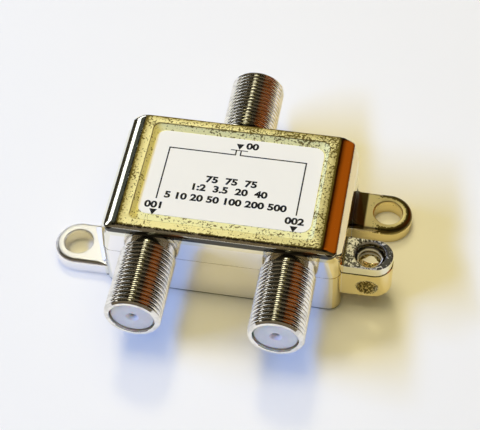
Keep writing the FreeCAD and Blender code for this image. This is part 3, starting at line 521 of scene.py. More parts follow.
def label_finish():
    """Printed film: matt white with a faint tooth."""
    paper = bpy.context.scene.splitter_colours.label
    finish = Finish("label_film", Coat_Weight=0.15, Coat_Roughness=0.3)
    tooth = finish.place.noise(0.25 * MM, 3.0)
    cloud = finish.place.noise(5.0 * MM, 2.0)
    finish.feed("Base Color", cloud.blend(paper, tint(paper, 0.97)))
    finish.feed("Roughness", tooth * 0.15 + 0.45)
    finish.feed("Normal", tooth.bump(0.004 * MM))
    return finish.material


def ink_finish():
    """Black print, a little thin in places."""
    ink = bpy.context.scene.splitter_colours.ink
    finish = Finish("black_ink", Specular_IOR_Level=0.1)
    patch = finish.place.noise(0.3 * MM, 2.0)
    finish.feed("Base Color", patch.step(0.45, 0.75).blend(ink, tint(ink, 3.0)))
    finish.feed("Roughness", patch * 0.2 + 0.4)
    return finish.material


def take(*pieces):
    """Select these pieces alone, the last one active."""
    bpy.ops.object.select_all(action="DESELECT")
    for piece in pieces:
        piece.select_set(True)
    bpy.context.view_layer.objects.active = pieces[-1]


def settle(piece):
    """Put the piece's place, turn and size into its mesh."""
    take(piece)
    bpy.ops.object.transform_apply(location=True, rotation=True, scale=True)


def edit(piece):
    """Open the piece in edit mode with nothing selected."""
    take(piece)
    bpy.ops.object.mode_set(mode="EDIT")
    bpy.ops.mesh.select_all(action="DESELECT")


def leave():
    """Back to object mode."""
    bpy.ops.object.mode_set(mode="OBJECT")


def pick(piece, kind, test):
    """Select the faces, edges or vertices of an open piece that the test likes."""
    bpy.ops.mesh.select_mode(type=kind)
    bpy.ops.mesh.select_all(action="DESELECT")
    mesh = bmesh.from_edit_mesh(piece.data)
    mesh.verts.index_update()
    found = 0
    for item in {"VERT": mesh.verts, "EDGE": mesh.edges, "FACE": mesh.faces}[kind]:
        if test(item):
            item.select_set(True)
            found += 1
    if not found:
        raise RuntimeError(f"{piece.name}: nothing there to select")
    mesh.select_flush_mode()
    bmesh.update_edit_mesh(piece.data)


def level_at(edge, height):
    """Whether an edge lies level at a height."""
    return all(abs(v.co.z - height) < NEAR for v in edge.verts)


def upright(edge):
    """Whether an edge has one end above the other."""
    return abs(edge.verts[0].co.z - edge.verts[1].co.z) > NEAR


def extrude(x=0.0, z=0.0):
    """Extrude what is selected and move it."""
    bpy.ops.mesh.extrude_region_move(TRANSFORM_OT_translate={"value": (x, 0.0, z)})


def bevel(width, rounds):
    """Round the selected edges off."""
    bpy.ops.mesh.bevel(offset=width, segments=rounds, affect="EDGES")


def face_outward():
    """Turn all faces of the open piece outward."""
    bpy.ops.mesh.select_all(action="SELECT")
    bpy.ops.mesh.normals_make_consistent(inside=False)


def block(low, high, level, thick):
    """A block between two corners in plan, that stands on a level."""
    centre = ((low[0] + high[0]) / 2, (low[1] + high[1]) / 2, level + thick / 2)
    bpy.ops.mesh.primitive_cube_add(size=1.0, location=centre)
    made = bpy.context.object
    made.scale = (high[0] - low[0], high[1] - low[1], thick)
    settle(made)
    return made


def drum(radius, low, high, x, y, sides=64):
    """An upright cylinder to start from."""
    place = (x, y, (low + high) / 2)
    bpy.ops.mesh.primitive_cylinder_add(vertices=sides, radius=radius, depth=high - low, location=place)
    made = bpy.context.object
    settle(made)
    return made


def draw_line(points, closed=False):
    """A line of edges through points in the XZ plane, from one vertex extruded point by point."""
    bpy.ops.mesh.primitive_plane_add(size=0.1 * MM, location=(points[0][0], 0.0, points[0][1]))
    line = bpy.context.object
    settle(line)
    bpy.ops.object.mode_set(mode="EDIT")
    bpy.ops.mesh.select_mode(type="VERT")
    bpy.ops.mesh.select_all(action="SELECT")
    bpy.ops.mesh.merge(type="CENTER")
    for before, after in zip(points, points[1:]):
        extrude(x=after[0] - before[0], z=after[1] - before[1])
    if closed:
        extrude(x=points[0][0] - points[-1][0], z=points[0][1] - points[-1][1])
        bpy.ops.mesh.select_all(action="SELECT")
        bpy.ops.mesh.remove_doubles(threshold=0.0001 * MM)
    leave()
    return line


def turn_round(piece, steps, rise=0.0, turns=1):
    """Sweep a line round the Z axis, climbing by rise in each turn."""
    take(piece)
    screw = piece.modifiers.new("sweep", "SCREW")
    screw.axis = "Z"
    screw.steps = screw.render_steps = steps
    screw.screw_offset = rise
    screw.iterations = turns
    screw.use_merge_vertices = False
    bpy.ops.object.modifier_apply(modifier=screw.name)
    edit(piece)
    bpy.ops.mesh.select_all(action="SELECT")
    bpy.ops.mesh.remove_doubles(threshold=0.0005 * MM)
    face_outward()
    leave()


def cut(piece, tool, operation="DIFFERENCE"):
    """Cut a piece with a tool, which is then thrown away."""
    take(piece)
    chisel = piece.modifiers.new("cut", "BOOLEAN")
    chisel.operation = operation
    chisel.solver = "EXACT"
    chisel.object = tool
    bpy.ops.object.modifier_apply(modifier=chisel.name)
    bpy.data.objects.remove(tool)


def smooth(piece, degrees):
    """Smooth shading up to an angle."""
    take(piece)
    bpy.ops.object.shade_smooth_by_angle(angle=math.radians(degrees))
    flats = piece.modifiers.new("flats", "WEIGHTED_NORMAL")
    flats.keep_sharp = True
    bpy.ops.object.modifier_apply(modifier=flats.name)


def copy_of(piece):
    """A copy with a mesh of its own."""
    take(piece)
    bpy.ops.object.duplicate(linked=False)
    return bpy.context.object


def join(*pieces):
    """Join pieces into the last one."""
    take(*pieces)
    bpy.ops.object.join()
    return bpy.context.object


def finish_piece(piece, name, material, slot, *nodes):
    """Name and paint a finished piece, make it ride on the body and stand for its nodes."""
    piece.name = piece.data.name = name
    piece.data.materials.clear()
    piece.data.materials.append(material)
    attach(piece, "root")
    if nodes:
        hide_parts(*nodes)


def glow_card(card, name, colour, strength=1.0, fade=None):
    """Make a stage card glow in the plating alone, fading out towards both sides if told where."""
    card.name = name
    shine = Finish(name)
    shine.shader.inputs["Base Color"].default_value = (0.0, 0.0, 0.0, 1.0)
    shine.shader.inputs["Emission Color"].default_value = (*colour, 1.0)
    shine.shader.inputs["Emission Strength"].default_value = strength
    shine.shader.inputs["Specular IOR Level"].default_value = 0.0
    if fade:
        across = shine.place.axis("X")
        start, low, high, end = fade
        glow = across.step(start, low) * across.step(end, high)
        shine.feed("Emission Color", glow.blend(tint(colour, 0.05), colour))
    card.data.materials.append(shine.material)
    card.visible_camera = False
    card.visible_diffuse = False
    card.visible_shadow = False


def flat_card(place, turn, width, height):
    """A plain card at a place, turned about X, Y and Z."""
    bpy.ops.mesh.primitive_plane_add(size=1.0, location=place, rotation=turn)
    card = bpy.context.object
    card.scale = (width, height, 1.0)
    settle(card)
    return card


def stand_flag(name, place, turn, colour):
    """A dim upright card, as the far side of a room would look in the plating."""
    flag = flat_card(place, (math.pi / 2, 0.0, math.radians(turn)), 1.0, 0.14)
    glow_card(flag, name, colour)


def hang_card(name, turn, width, height, colour, strength, away=1.0, fade=None):
    """A glowing card behind the splitter, turned by an angle from straight above."""
    tilt, turn = math.radians(34.9), math.radians(turn)
    level_away = math.cos(tilt) * away
    place = (math.sin(turn) * level_away, math.sin(tilt) * away, math.cos(turn) * level_away)
    card = flat_card(place, (-tilt, turn, 0.0), width * away, height * away)
    glow_card(card, name, colour, strength, fade)


def build_stage():
    """Floor, reflected cards, lamps, world and camera."""
    studio = bpy.context.scene.splitter_studio
    floor = flat_card((0.0, 0.0, 0.0), (0.0, 0.0, 0.0), 6.0, 6.0)
    floor.name = "floor"
    paper = Finish("white_paper", Roughness=0.55)
    cloud = paper.place.noise(0.3, 1.0)
    paper.feed("Base Color", cloud.blend((0.91, 0.91, 0.91), (0.89, 0.89, 0.89)))
    floor.data.materials.append(paper.material)
    hang_card("card_window", -68.5, 0.16, 1.20, (0.90, 0.93, 0.96), 2.2)
    hang_card("card_wall", -57.0, 0.50, 0.60, (0.06, 0.065, 0.055), 1.0, 1.1)
    hang_card("card_lamp", -14.0, 0.16, 0.90, (1.0, 0.97, 0.68), 2.1)
    hang_card("card_glow", -3.0, 0.16, 0.42, (0.80, 0.68, 0.24), 0.45, 1.05)
    curtain_fade = (0.355, 0.58, 0.81, 0.985)
    hang_card("card_curtain", 52.0, 1.19, 1.20, (0.34, 0.085, 0.006), 1.0, fade=curtain_fade)
    stand_flag("flag_front", (0.0, -0.11, 0.07), 0.0, (0.14, 0.115, 0.08))
    stand_flag("flag_right", (0.6, 0.0, 0.07), 90.0, (0.06, 0.05, 0.04))
    lamps = (
        ("overhead_lamp", (-0.195, 0.09, 1.5), (0.50, 0.50), studio.overhead, (1.0, 0.84, 0.45)),
        ("back_lamp", (-0.24, 0.71, 1.06), (0.22, 0.22), studio.back, (1.0, 0.85, 0.43)),
        ("window_light", (-1.165, -0.286, 0.90), (1.10, 0.14), studio.window, (0.275, 0.455, 1.0)),
        ("soft_box", (0.0, 0.0, 1.6), (2.4, 2.4), studio.soft, (1.0, 0.89, 0.46)),
    )
    for name, place, (wide, high), power, colour in lamps:
        bpy.ops.object.light_add(type="AREA", location=place)
        lamp = bpy.context.object
        lamp.name = name
        lamp.data.shape = "RECTANGLE"
        lamp.data.energy = power
        lamp.data.size, lamp.data.size_y = wide, high
        lamp.data.color = colour
        lamp.visible_glossy = False
        lamp.rotation_euler = Vector(place).to_track_quat("Z", "Y").to_euler()
    world = bpy.data.worlds.new("studio_air")
    bpy.context.scene.world = world
    world.use_nodes = True
    world.node_tree.nodes["Background"].inputs["Color"].default_value = (0.038, 0.033, 0.019, 1.0)
    turned = [math.radians(angle) for angle in (37.0136, 1.9218, 10.3893)]
    bpy.ops.object.camera_add(location=(0.034324, -0.144297, 0.202740), rotation=turned)
    camera = bpy.context.object
    camera.name = "camera"
    camera.data.lens = studio.lens
    camera.data.sensor_width = 36.0
    camera.data.clip_start = 0.01
    bpy.context.scene.camera = camera
    bpy.context.scene.view_settings.view_transform = "Standard"


class SPLITTER_OT_studio(bpy.types.Operator):
    """Add the floor, the cards, the lamps and the camera"""

    bl_idname = "splitter.studio"
    bl_label = "Studio"

    def execute(self, context):
        build_stage()
        return {"FINISHED"}


def ring_to(piece, old, new):
    """Move the selected rounded ring from one half size and corner radius to another."""
    mesh = bmesh.from_edit_mesh(piece.data)
    mesh.verts.index_update()
    kept = {v.index: v.co.copy() for v in mesh.verts if v.select}
    for side_x in (-1, 1):
        for side_y in (-1, 1):
            old_middle = Vector((side_x * (old[0] - old[2]), side_y * (old[1] - old[2]), 0.0))
            new_middle = Vector((side_x * (new[0] - new[2]), side_y * (new[1] - new[2]), 0.0))
            own = {i for i, place in kept.items() if place.x * side_x > 0 and place.y * side_y > 0}
            pick(piece, "VERT", lambda v: v.index in own)
            grow = new[2] / old[2]
            bpy.ops.transform.resize(value=(grow, grow, 1.0), center_override=old_middle)
            bpy.ops.transform.translate(value=new_middle - old_middle)
    pick(piece, "VERT", lambda v: v.index in kept)


def grow_rings(piece, height, ring, levels):
    """Grow the selected face from a ring at a height through the levels and rings that follow."""
    for level, new in levels:
        extrude(z=level - height)
        ring_to(piece, ring, new)
        bpy.ops.mesh.select_mode(type="FACE")
        ring, height = new, level


def wall_levels(sizes):
    """The walls above the moulding line, with their small step there and the slope to the lid."""
    wide, deep, corner = sizes.half_width, sizes.half_depth, sizes.corner
    notch = 0.12 * MM
    notched = (wide - notch, deep - notch, corner - notch)
    notch_top = sizes.parting + 0.2 * MM
    return [
        (sizes.parting, notched),
        (notch_top, notched),
        (notch_top, (wide, deep, corner)),
        (sizes.chamfer, (wide, deep, sizes.shoulder_corner)),
    ]


def lid_levels(sizes):
    """The lid: its upright lip, the domed slope up to the rim, and the recess for the label."""
    lid, rim, recess, bed = lid_rings(sizes)
    levels = [(sizes.shoulder, lid), (sizes.lid_edge, lid)]
    rise, dome, steps = sizes.top - sizes.lid_edge, 0.15 * MM, 6
    for step in range(1, steps + 1):
        part = step / steps
        swell = 4 * dome * part * (1 - part)
        inward = tuple(a + (b - a) * part for a, b in zip(lid, rim))
        levels.append((sizes.lid_edge + rise * part + swell, inward))
    levels += [(sizes.top, recess), (sizes.top - 0.25 * MM, recess), (sizes.top - 1.0 * MM, bed)]
    return levels


def build_box():
    """The casting's box and lid, grown ring by ring from its foot to the recess for the label."""
    sizes = bpy.context.scene.splitter_casting
    wide, deep, parting = sizes.half_width, sizes.half_depth, sizes.parting
    wall = (wide, deep, sizes.corner)
    box = block((-wide, -deep), (wide, deep), 0.0, parting)
    edit(box)
    pick(box, "EDGE", upright)
    bevel(sizes.corner, 8)
    pick(box, "FACE", lambda f: f.normal.z > 0.9 and f.calc_center_median().z > parting - NEAR)
    grow_rings(box, parting, wall, wall_levels(sizes) + lid_levels(sizes))
    pick(box, "FACE", lambda f: f.normal.z < -0.9 and f.calc_center_median().z < NEAR)
    seat = (19.35 * MM, 11.6 * MM, 1.6 * MM)
    hollow = (18.45 * MM, 10.7 * MM, 1.0 * MM)
    seat_top, ceiling = 1.2 * MM, 13.8 * MM
    grow_rings(box, 0.0, wall, ((0.0, seat), (seat_top, seat), (seat_top, hollow), (ceiling, hollow)))

    def turned(edge, height):
        bent = len(edge.link_faces) == 2 and edge.calc_face_angle(0.0) > math.radians(8.0)
        return bent and level_at(edge, height)

    soft_edges = (
        (0.0, 0.20 * MM, 3),
        (sizes.chamfer, 0.30 * MM, 4),
        (sizes.lid_edge, 0.10 * MM, 3),
        (sizes.top, 0.10 * MM, 3),
    )
    for height, width, rounds in soft_edges:
        pick(box, "EDGE", lambda e: turned(e, height))
        bevel(width, rounds)
    leave()
    return box


class SPLITTER_OT_box(bpy.types.Operator):
    """Add the casting's box with its lid-like top and the recess for the label"""

    bl_idname = "splitter.box"
    bl_label = "Box"

    def execute(self, context):
        box = build_box()
        smooth(box, 24.0)
        finish_piece(box, "housing_box", casting_finish(), "housing_plate", "housing")
        return {"FINISHED"}


def draw_out(piece, x, y, radius, wall):
    """Draw the inner half of an open drum's outline out to the wall."""

    def inner(vertex):
        away = math.hypot(vertex.co.x - x, vertex.co.y - y)
        return away > radius - SLACK and vertex.co.x < x - NEAR

    pick(piece, "VERT", inner)
    bpy.ops.transform.resize(value=(0.0, 1.0, 1.0), center_override=(wall, y, 0.0))


def build_ear():
    """The right ear: a disc with its hole, drawn out to the wall, its top edge rounded."""
    ears = bpy.context.scene.splitter_ears
    wall = bpy.context.scene.splitter_casting.half_width
    x, y, thick = wall + ears.reach, ears.offset, ears.thickness
    ear = drum(ears.radius, 0.0, thick, x, y, 72)
    edit(ear)
    pick(ear, "FACE", lambda f: abs(f.normal.z) > 0.9)
    bpy.ops.mesh.inset(thickness=ears.radius - ears.hole, use_individual=True)
    bpy.ops.mesh.bridge_edge_loops()

    def from_hole(edge):
        centre = (edge.verts[0].co + edge.verts[1].co) / 2
        return math.hypot(centre.x - x, centre.y - y)

    def outer(edge):
        beyond = from_hole(edge) > ears.radius - SLACK and max(v.co.x for v in edge.verts) > wall
        return beyond and len(edge.link_faces) == 2 and any(abs(f.normal.z) < 0.5 for f in edge.link_faces)

    pick(ear, "EDGE", lambda e: level_at(e, thick) and from_hole(e) < ears.hole + SLACK)
    bevel(SMALL_ROUND, 4)
    draw_out(ear, x, y, ears.radius, wall - INTO_WALL)
    pick(ear, "EDGE", lambda e: level_at(e, thick) and outer(e))
    bevel(ears.edge, 7)
    leave()
    return ear


def build_root(wide, rise):
    """The hollowed slope from an ear up to the wall, wide towards the middle of the box."""
    ears = bpy.context.scene.splitter_ears
    wall = bpy.context.scene.splitter_casting.half_width
    low, half, narrow = ears.thickness - ears.edge, ears.radius - ears.edge, 0.75 * MM
    near, far = ears.offset - half, ears.offset + half
    root = block((wall - INTO_WALL, near), (wall, far), low, ears.thickness + rise - low)
    edit(root)
    pick(root, "FACE", lambda f: f.normal.x > 0.9)
    # Shares of the width and of the rise, from the wall outward.
    for run, fall in ((0.17, 0.45), (0.17, 0.25), (0.26, 0.18), (0.40, 0.12)):
        extrude(x=wide * run)
        edge = max(v.co.x for v in bmesh.from_edit_mesh(root.data).verts)
        pick(root, "VERT", lambda v: v.co.x > edge - NEAR and v.co.z > low + NEAR)
        bpy.ops.transform.translate(value=(0.0, 0.0, -rise * fall))
        pick(root, "FACE", lambda f: f.normal.x > 0.9 and f.calc_center_median().x > edge - NEAR)
    pick(root, "VERT", lambda v: v.co.y > far - NEAR and v.co.x > wall + NEAR)
    bpy.ops.transform.resize(value=(narrow / wide, 1.0, 1.0), center_override=(wall, 0.0, 0.0))
    leave()
    return root


def turn_half(piece):
    """Turn a piece half round the upright axis."""
    piece.rotation_euler = (0.0, 0.0, math.pi)
    settle(piece)


class SPLITTER_OT_ears(bpy.types.Operator):
    """Add the two screw ears with the slopes that carry them"""

    bl_idname = "splitter.ears"
    bl_label = "Screw ears"

    def execute(self, context):
        plate = casting_finish()
        right = build_ear()
        left = copy_of(right)
        turn_half(left)
        left_root = build_root(wide=3.7 * MM, rise=2.0 * MM)
        turn_half(left_root)
        right = join(build_root(wide=2.15 * MM, rise=1.4 * MM), right)
        left = join(left_root, left)
        for ear, name in ((right, "housing_ear_right"), (left, "housing_ear_left")):
            smooth(ear, 32.0)
            finish_piece(ear, name, plate, "housing_plate", "housing")
        return {"FINISHED"}


def lug_body():
    """The lug without its holes, a little wider below the moulding line."""
    ears = bpy.context.scene.splitter_ears
    wall = bpy.context.scene.splitter_casting.half_width
    x, ledge = wall + 5.15 * MM, 0.12 * MM
    foot, top = ears.lug_bottom, ears.lug_top
    lug = drum(ears.lug_radius + ledge, foot, LUG_PARTING, x, LUG_Y)
    edit(lug)
    pick(lug, "FACE", lambda f: f.normal.z > 0.9)
    bpy.ops.mesh.inset(thickness=ledge)
    extrude(z=top - LUG_PARTING)
    draw_out(lug, x, LUG_Y, ears.lug_radius, wall - INTO_WALL)

    def soft(edge):
        return (level_at(edge, top) or level_at(edge, foot)) and max(v.co.x for v in edge.verts) > wall

    pick(lug, "EDGE", soft)
    bevel(SMALL_ROUND, 4)
    leave()
    return lug


def tap_drill(x, top):
    """What is drilled for the screw: the tapped hole down to the wire's, and its countersink."""
    cone_depth, cone_radius, over, clear = 0.45 * MM, 2.9 * MM, 0.05 * MM, 1.0 * MM
    drill = drum(TAP_RADIUS, WIRE_HEIGHT, top - cone_depth, x, LUG_Y, 48)
    edit(drill)
    pick(drill, "FACE", lambda f: f.normal.z > 0.9)
    extrude(z=cone_depth + over)
    wider = cone_radius / TAP_RADIUS
    bpy.ops.transform.resize(value=(wider, wider, 1.0), center_override=(x, LUG_Y, 0.0))
    extrude(z=clear)
    leave()
    return drill


def tap_thread(x, top):
    """The tapped hole's thread: a ridge that climbs four turns and is closed at both ends."""
    pitch, turns = 1.0583 * MM, 4
    root, flank, crest = 2.46 * MM, 1.97 * MM, 1.95 * MM
    low = top - 0.4 * MM - (turns + 0.99) * pitch
    ridge = draw_line(
        [
            (root, low),
            (flank, low + 0.42 * pitch),
            (crest, low + 0.50 * pitch),
            (flank, low + 0.58 * pitch),
            (root, low + 0.99 * pitch),
        ],
        closed=True,
    )
    turn_round(ridge, 48, pitch, turns)
    edit(ridge)
    bpy.ops.mesh.select_mode(type="EDGE")
    bpy.ops.mesh.select_non_manifold()
    bpy.ops.mesh.fill()
    face_outward()
    leave()
    ridge.location = (x, LUG_Y, 0.0)
    settle(ridge)
    return ridge


def build_lug():
    """The grounding lug: a tapped, countersunk hole that ends in the cross hole for the wire."""
    top = bpy.context.scene.splitter_ears.lug_top
    x = bpy.context.scene.splitter_casting.half_width + TAP_REACH
    lug = lug_body()
    cut(lug, tap_drill(x, top))
    half_long = 6.0 * MM
    wire_hole = drum(WIRE_RADIUS, -half_long, half_long, 0.0, 0.0, 48)
    wire_hole.rotation_euler = (math.pi / 2, 0.0, 0.0)
    wire_hole.location = (x, LUG_Y, WIRE_HEIGHT)
    settle(wire_hole)
    ridge = tap_thread(x, top)
    cut(ridge, copy_of(wire_hole))
    cut(lug, wire_hole)
    return join(ridge, lug)


class SPLITTER_OT_lug(bpy.types.Operator):
    """Add the grounding lug"""

    bl_idname = "splitter.lug"
    bl_label = "Grounding lug"

    def execute(self, context):
        lug = build_lug()
        smooth(lug, 32.0)
        finish_piece(lug, "housing_lug", casting_finish(), "housing_plate", "housing")
        return {"FINISHED"}


def threaded_rod():
    """A rod with the port's thread, longer than the port, its ends cut flat and closed."""
    port = bpy.context.scene.splitter_ports
    # One turn of the thread: the share of the pitch, and the depth below the crest in millimetres.
    profile = (
        (0.0, 0.45),
        (0.05, 0.45),
        (0.26, 0.11),
        (0.34, 0.035),
        (0.45, 0.0),
        (0.60, 0.0),
        (0.71, 0.035),
        (0.79, 0.11),
    )
    start, turns = -4.0 * MM, 24
    points = []
    for turn in range(turns):
        for share, drop in profile:
            points.append((port.radius - drop * MM, start + (turn + share) * port.pitch))
    rod = draw_line(points)
    turn_round(rod, 72, port.pitch)
    edit(rod)
    for height, side in ((-2.5 * MM, "clear_inner"), (port.length + 0.5 * MM, "clear_outer")):
        bpy.ops.mesh.select_all(action="SELECT")
        plane = {"plane_co": (0.0, 0.0, height), "plane_no": (0.0, 0.0, 1.0), "threshold": 0.00001 * MM}
        bpy.ops.mesh.bisect(use_fill=True, **plane, **{side: True})
    face_outward()
    leave()
    return rod


def build_sleeve():
    """A port along Z from the wall: a turned sleeve that keeps the thread of a longer rod."""
    port = bpy.context.scene.splitter_ports
    stem, foot = 3.4 * MM, -2.0 * MM
    neck = port.radius - port.depth - 0.03 * MM
    over, end = port.radius + 0.02 * MM, port.length
    sleeve = draw_line(
        [
            (STEM_BORE, foot),
            (stem, foot),
            (stem, 0.0),
            (neck, 0.0),
            (neck, 0.8 * MM),
            (over, 1.05 * MM),
            (over, end - 0.38 * MM),
            (over - 0.32 * MM, end - 0.06 * MM),
            (over - 0.38 * MM, end),
            (port.bore + 0.07 * MM, end),
            (port.bore, end - 0.07 * MM),
            (port.bore, BORE_FLOOR),
            (STEM_BORE, BORE_FLOOR),
        ],
        closed=True,
    )
    turn_round(sleeve, 96)
    cut(sleeve, threaded_rod(), "INTERSECT")
    return sleeve


def place_port(piece, name):
    """Lay a piece that stands along Z on its port's axis."""
    port = bpy.context.scene.splitter_ports
    wall = bpy.context.scene.splitter_casting.half_depth
    piece.rotation_euler = (math.pi / 2, 0.0, math.pi if name == "in" else 0.0)
    x = {"in": 0.0, "out_1": -port.spacing / 2, "out_2": port.spacing / 2}[name]
    piece.location = (x, wall if name == "in" else -wall, port.height)
    settle(piece)


class SPLITTER_OT_ports(bpy.types.Operator):
    """Add the three threaded ports"""

    bl_idname = "splitter.ports"
    bl_label = "Threaded ports"

    def execute(self, context):
        sleeve = build_sleeve()
        smooth(sleeve, 32.0)
        plate = port_finish()
        for name in ("in", "out_1", "out_2"):
            port = sleeve if name == "out_2" else copy_of(sleeve)
            place_port(port, name)
            finish_piece(port, f"{name}_threaded_port", plate, "port_plate", f"{name}_port")
        return {"FINISHED"}


def build_core():
    """A plastic core along Z from the wall, with its dimple and the entry for the wire."""
    stem, outside, face = 2.40 * MM, 3.75 * MM, 13.12 * MM
    tail_hole, pocket, entry = 0.35 * MM, 1.05 * MM, 0.60 * MM
    foot, pocket_floor, pocket_top = -2.5 * MM, 3.0 * MM, 11.05 * MM
    core = draw_line(
        [
            (tail_hole, foot),
            (stem, foot),
            (stem, BORE_FLOOR),
            (outside, BORE_FLOOR),
            (outside, face - 0.52 * MM),
            (outside - 0.09 * MM, face - 0.20 * MM),
            (outside - 0.17 * MM, face - 0.07 * MM),
            (outside - 0.30 * MM, face),
            (entry + 0.52 * MM, face),
            (entry + 0.40 * MM, face - 0.05 * MM),
            (entry + 0.08 * MM, face - 0.40 * MM),
            (entry, face - 0.52 * MM),
            (entry, face - 0.67 * MM),
            (entry, pocket_top),
            (pocket, pocket_top),
            (pocket, pocket_floor),
            (tail_hole, pocket_floor),
        ],
        closed=True,
    )
    turn_round(core, 64)
    return core


class SPLITTER_OT_cores(bpy.types.Operator):
    """Add the plastic cores of the ports"""

    bl_idname = "splitter.cores"
    bl_label = "Plastic cores"

    def execute(self, context):
        first = build_core()
        smooth(first, 35.0)
        milk = plastic_finish()
        for name in ("in", "out_1", "out_2"):
            core = first if name == "out_2" else copy_of(first)
            place_port(core, name)
            finish_piece(core, f"{name}_core", milk, "insulator_plastic", f"{name}_insulator")
        return {"FINISHED"}


def build_label():
    """The label: a thin sheet with round corners and a soft top edge."""
    sheet = block((-14.7 * MM, -8.5 * MM), (14.7 * MM, 9.7 * MM), LABEL_LEVEL, LABEL_THICK)
    edit(sheet)
    pick(sheet, "EDGE", upright)
    bevel(1.8 * MM, 10)
    pick(sheet, "EDGE", lambda e: level_at(e, LABEL_LEVEL + LABEL_THICK))
    bevel(0.03 * MM, 2)
    leave()
    return sheet


def numerals(text, x, y, height, level):
    """Bold wide numerals, centred at a place."""
    bpy.ops.object.text_add(location=(0.0, 0.0, 0.0))
    line = bpy.context.object
    line.data.body = text
    line.data.size = height / 0.7
    line.data.align_x = "CENTER"
    line.data.align_y = "CENTER"
    line.data.offset = 0.08 * MM
    line.data.extrude = PRINT_THICK / 2
    line.data.resolution_u = 4
    bpy.ops.object.convert(target="MESH")
    line = bpy.context.object
    line.scale = (1.16, 1.0, 1.0)
    line.location = (x, y, level)
    settle(line)
    return line


def arrow(tip_x, tip_y, level):
    """A small filled triangle that points to the front."""
    size = 1.25 * MM
    place = (tip_x, tip_y + size / 2, level)
    bpy.ops.mesh.primitive_cylinder_add(vertices=3, radius=size / 1.5, depth=PRINT_THICK, location=place)
    mark = bpy.context.object
    mark.rotation_euler = (0.0, 0.0, math.pi)
    mark.scale = (0.93, 1.0, 1.0)
    settle(mark)
    return mark


def build_print():
    """The diagram of the lines from the input to the outputs, with numbers for words."""
    level = LABEL_LEVEL + LABEL_THICK + 0.002 * MM
    line_x, line_y, thin = 11.9, 6.05, 0.12
    bars = []
    for side in (-1, 1):
        lines = (
            ((side * 0.35, line_y - thin), (side * line_x, line_y + thin)),
            ((side * line_x - thin, -5.2), (side * line_x + thin, line_y + thin)),
            ((side * 0.42 - thin, line_y), (side * 0.42 + thin, 7.1)),
        )
        for one, other in lines:
            low = [min(a, b) * MM for a, b in zip(one, other)]
            high = [max(a, b) * MM for a, b in zip(one, other)]
            bars.append(block(low, high, level, PRINT_THICK))
    bars.append(block((-1.4 * MM, 7.02 * MM), (1.6 * MM, 7.2 * MM), level, PRINT_THICK))
    for x, y in ((0.05, 7.5), (-11.9, -8.5), (11.85, -8.5)):
        bars.append(arrow(x * MM, y * MM, level))
    rows = (
        ("00", 2.2, 8.2),
        ("001", -12.0, -6.6),
        ("002", 11.8, -6.5),
        ("75  75  75", 0.0, 0.05),
        ("1:2  3.5  20  40", -0.1, -1.9),
        ("5 10 20 50 100 200 500", -0.3, -4.2),
    )
    for text, x, y in rows:
        bars.append(numerals(text, x * MM, y * MM, 1.3 * MM, level + PRINT_THICK / 2))
    return join(*bars)


class SPLITTER_OT_label(bpy.types.Operator):
    """Add the label and its print"""

    bl_idname = "splitter.label"
    bl_label = "Label and print"

    def execute(self, context):
        finish_piece(build_label(), "label_sheet", label_finish(), "label_film", "label")
        finish_piece(build_print(), "label_print", ink_finish(), "label_film", "label")
        return {"FINISHED"}


def tin_finish():
    """Rolled tin plate, dull, with fine scratches along its length."""
    finish = Finish("tin_plate", Metallic=1.0)
    roll = finish.place.stretch(0.08, 1.0, 1.0).noise(0.16 * MM, 3.0, 0.6)
    cloud = finish.place.noise(7.0 * MM, 3.0)
    finish.feed("Base Color", cloud.step(0.3, 0.7).blend((0.60, 0.58, 0.54), (0.74, 0.73, 0.70)))
    finish.feed("Roughness", roll * 0.25 + cloud * 0.15 + 0.12)
    finish.feed("Normal", (roll + cloud * 0.5).bump(0.012 * MM))
    return finish.material


def sealant_finish():
    """Cured grey bead, a little uneven."""
    finish = Finish("grey_sealant")
    lump = finish.place.noise(0.9 * MM, 3.0)
    finish.feed("Base Color", lump.blend((0.16, 0.16, 0.15), (0.28, 0.27, 0.25)))
    finish.feed("Roughness", lump * 0.3 + 0.35)
    finish.feed("Normal", lump.bump(0.08 * MM))
    return finish.material


def contact_finish():
    """Tinned bronze, drawn along the port."""
    finish = Finish("tinned_bronze", Metallic=1.0)
    drawn = finish.place.stretch(1.0, 0.1, 1.0).noise(0.15 * MM, 2.0)
    finish.feed("Base Color", drawn.step(0.35, 0.7).blend((0.72, 0.66, 0.52), (0.82, 0.80, 0.74)))
    finish.feed("Roughness", drawn * 0.2 + 0.15)
    finish.feed("Normal", drawn.bump(0.006 * MM))
    return finish.material


def board_finish():
    """Green mask over a woven laminate."""
    finish = Finish("green_laminate", Coat_Weight=0.3)
    warp, weft = (finish.place.axis(letter).wave(0.6 * MM) for letter in "XY")
    cloth = warp * weft * 0.5 + 0.5
    finish.feed("Base Color", cloth.blend((0.015, 0.10, 0.035), (0.03, 0.16, 0.06)))
    finish.feed("Roughness", cloth * 0.15 + 0.25)
    finish.feed("Normal", cloth.bump(0.01 * MM))
    return finish.material


def ferrite_finish():
    """Pressed ferrite, nearly black and matt."""
    finish = Finish("ferrite")
    grain = finish.place.noise(0.12 * MM, 3.0, 0.7)
    finish.feed("Base Color", grain.blend((0.02, 0.02, 0.022), (0.075, 0.072, 0.07)))
    finish.feed("Roughness", grain * 0.2 + 0.55)
    finish.feed("Normal", grain.bump(0.02 * MM))
    return finish.material


def copper_finish():
    """Enamelled copper wire."""
    finish = Finish("enamelled_copper", Metallic=1.0)
    shade = finish.place.noise(0.5 * MM, 2.0)
    finish.feed("Base Color", shade.blend((0.45, 0.12, 0.04), (0.70, 0.27, 0.10)))
    finish.feed("Roughness", shade * 0.15 + 0.15)
    return finish.material


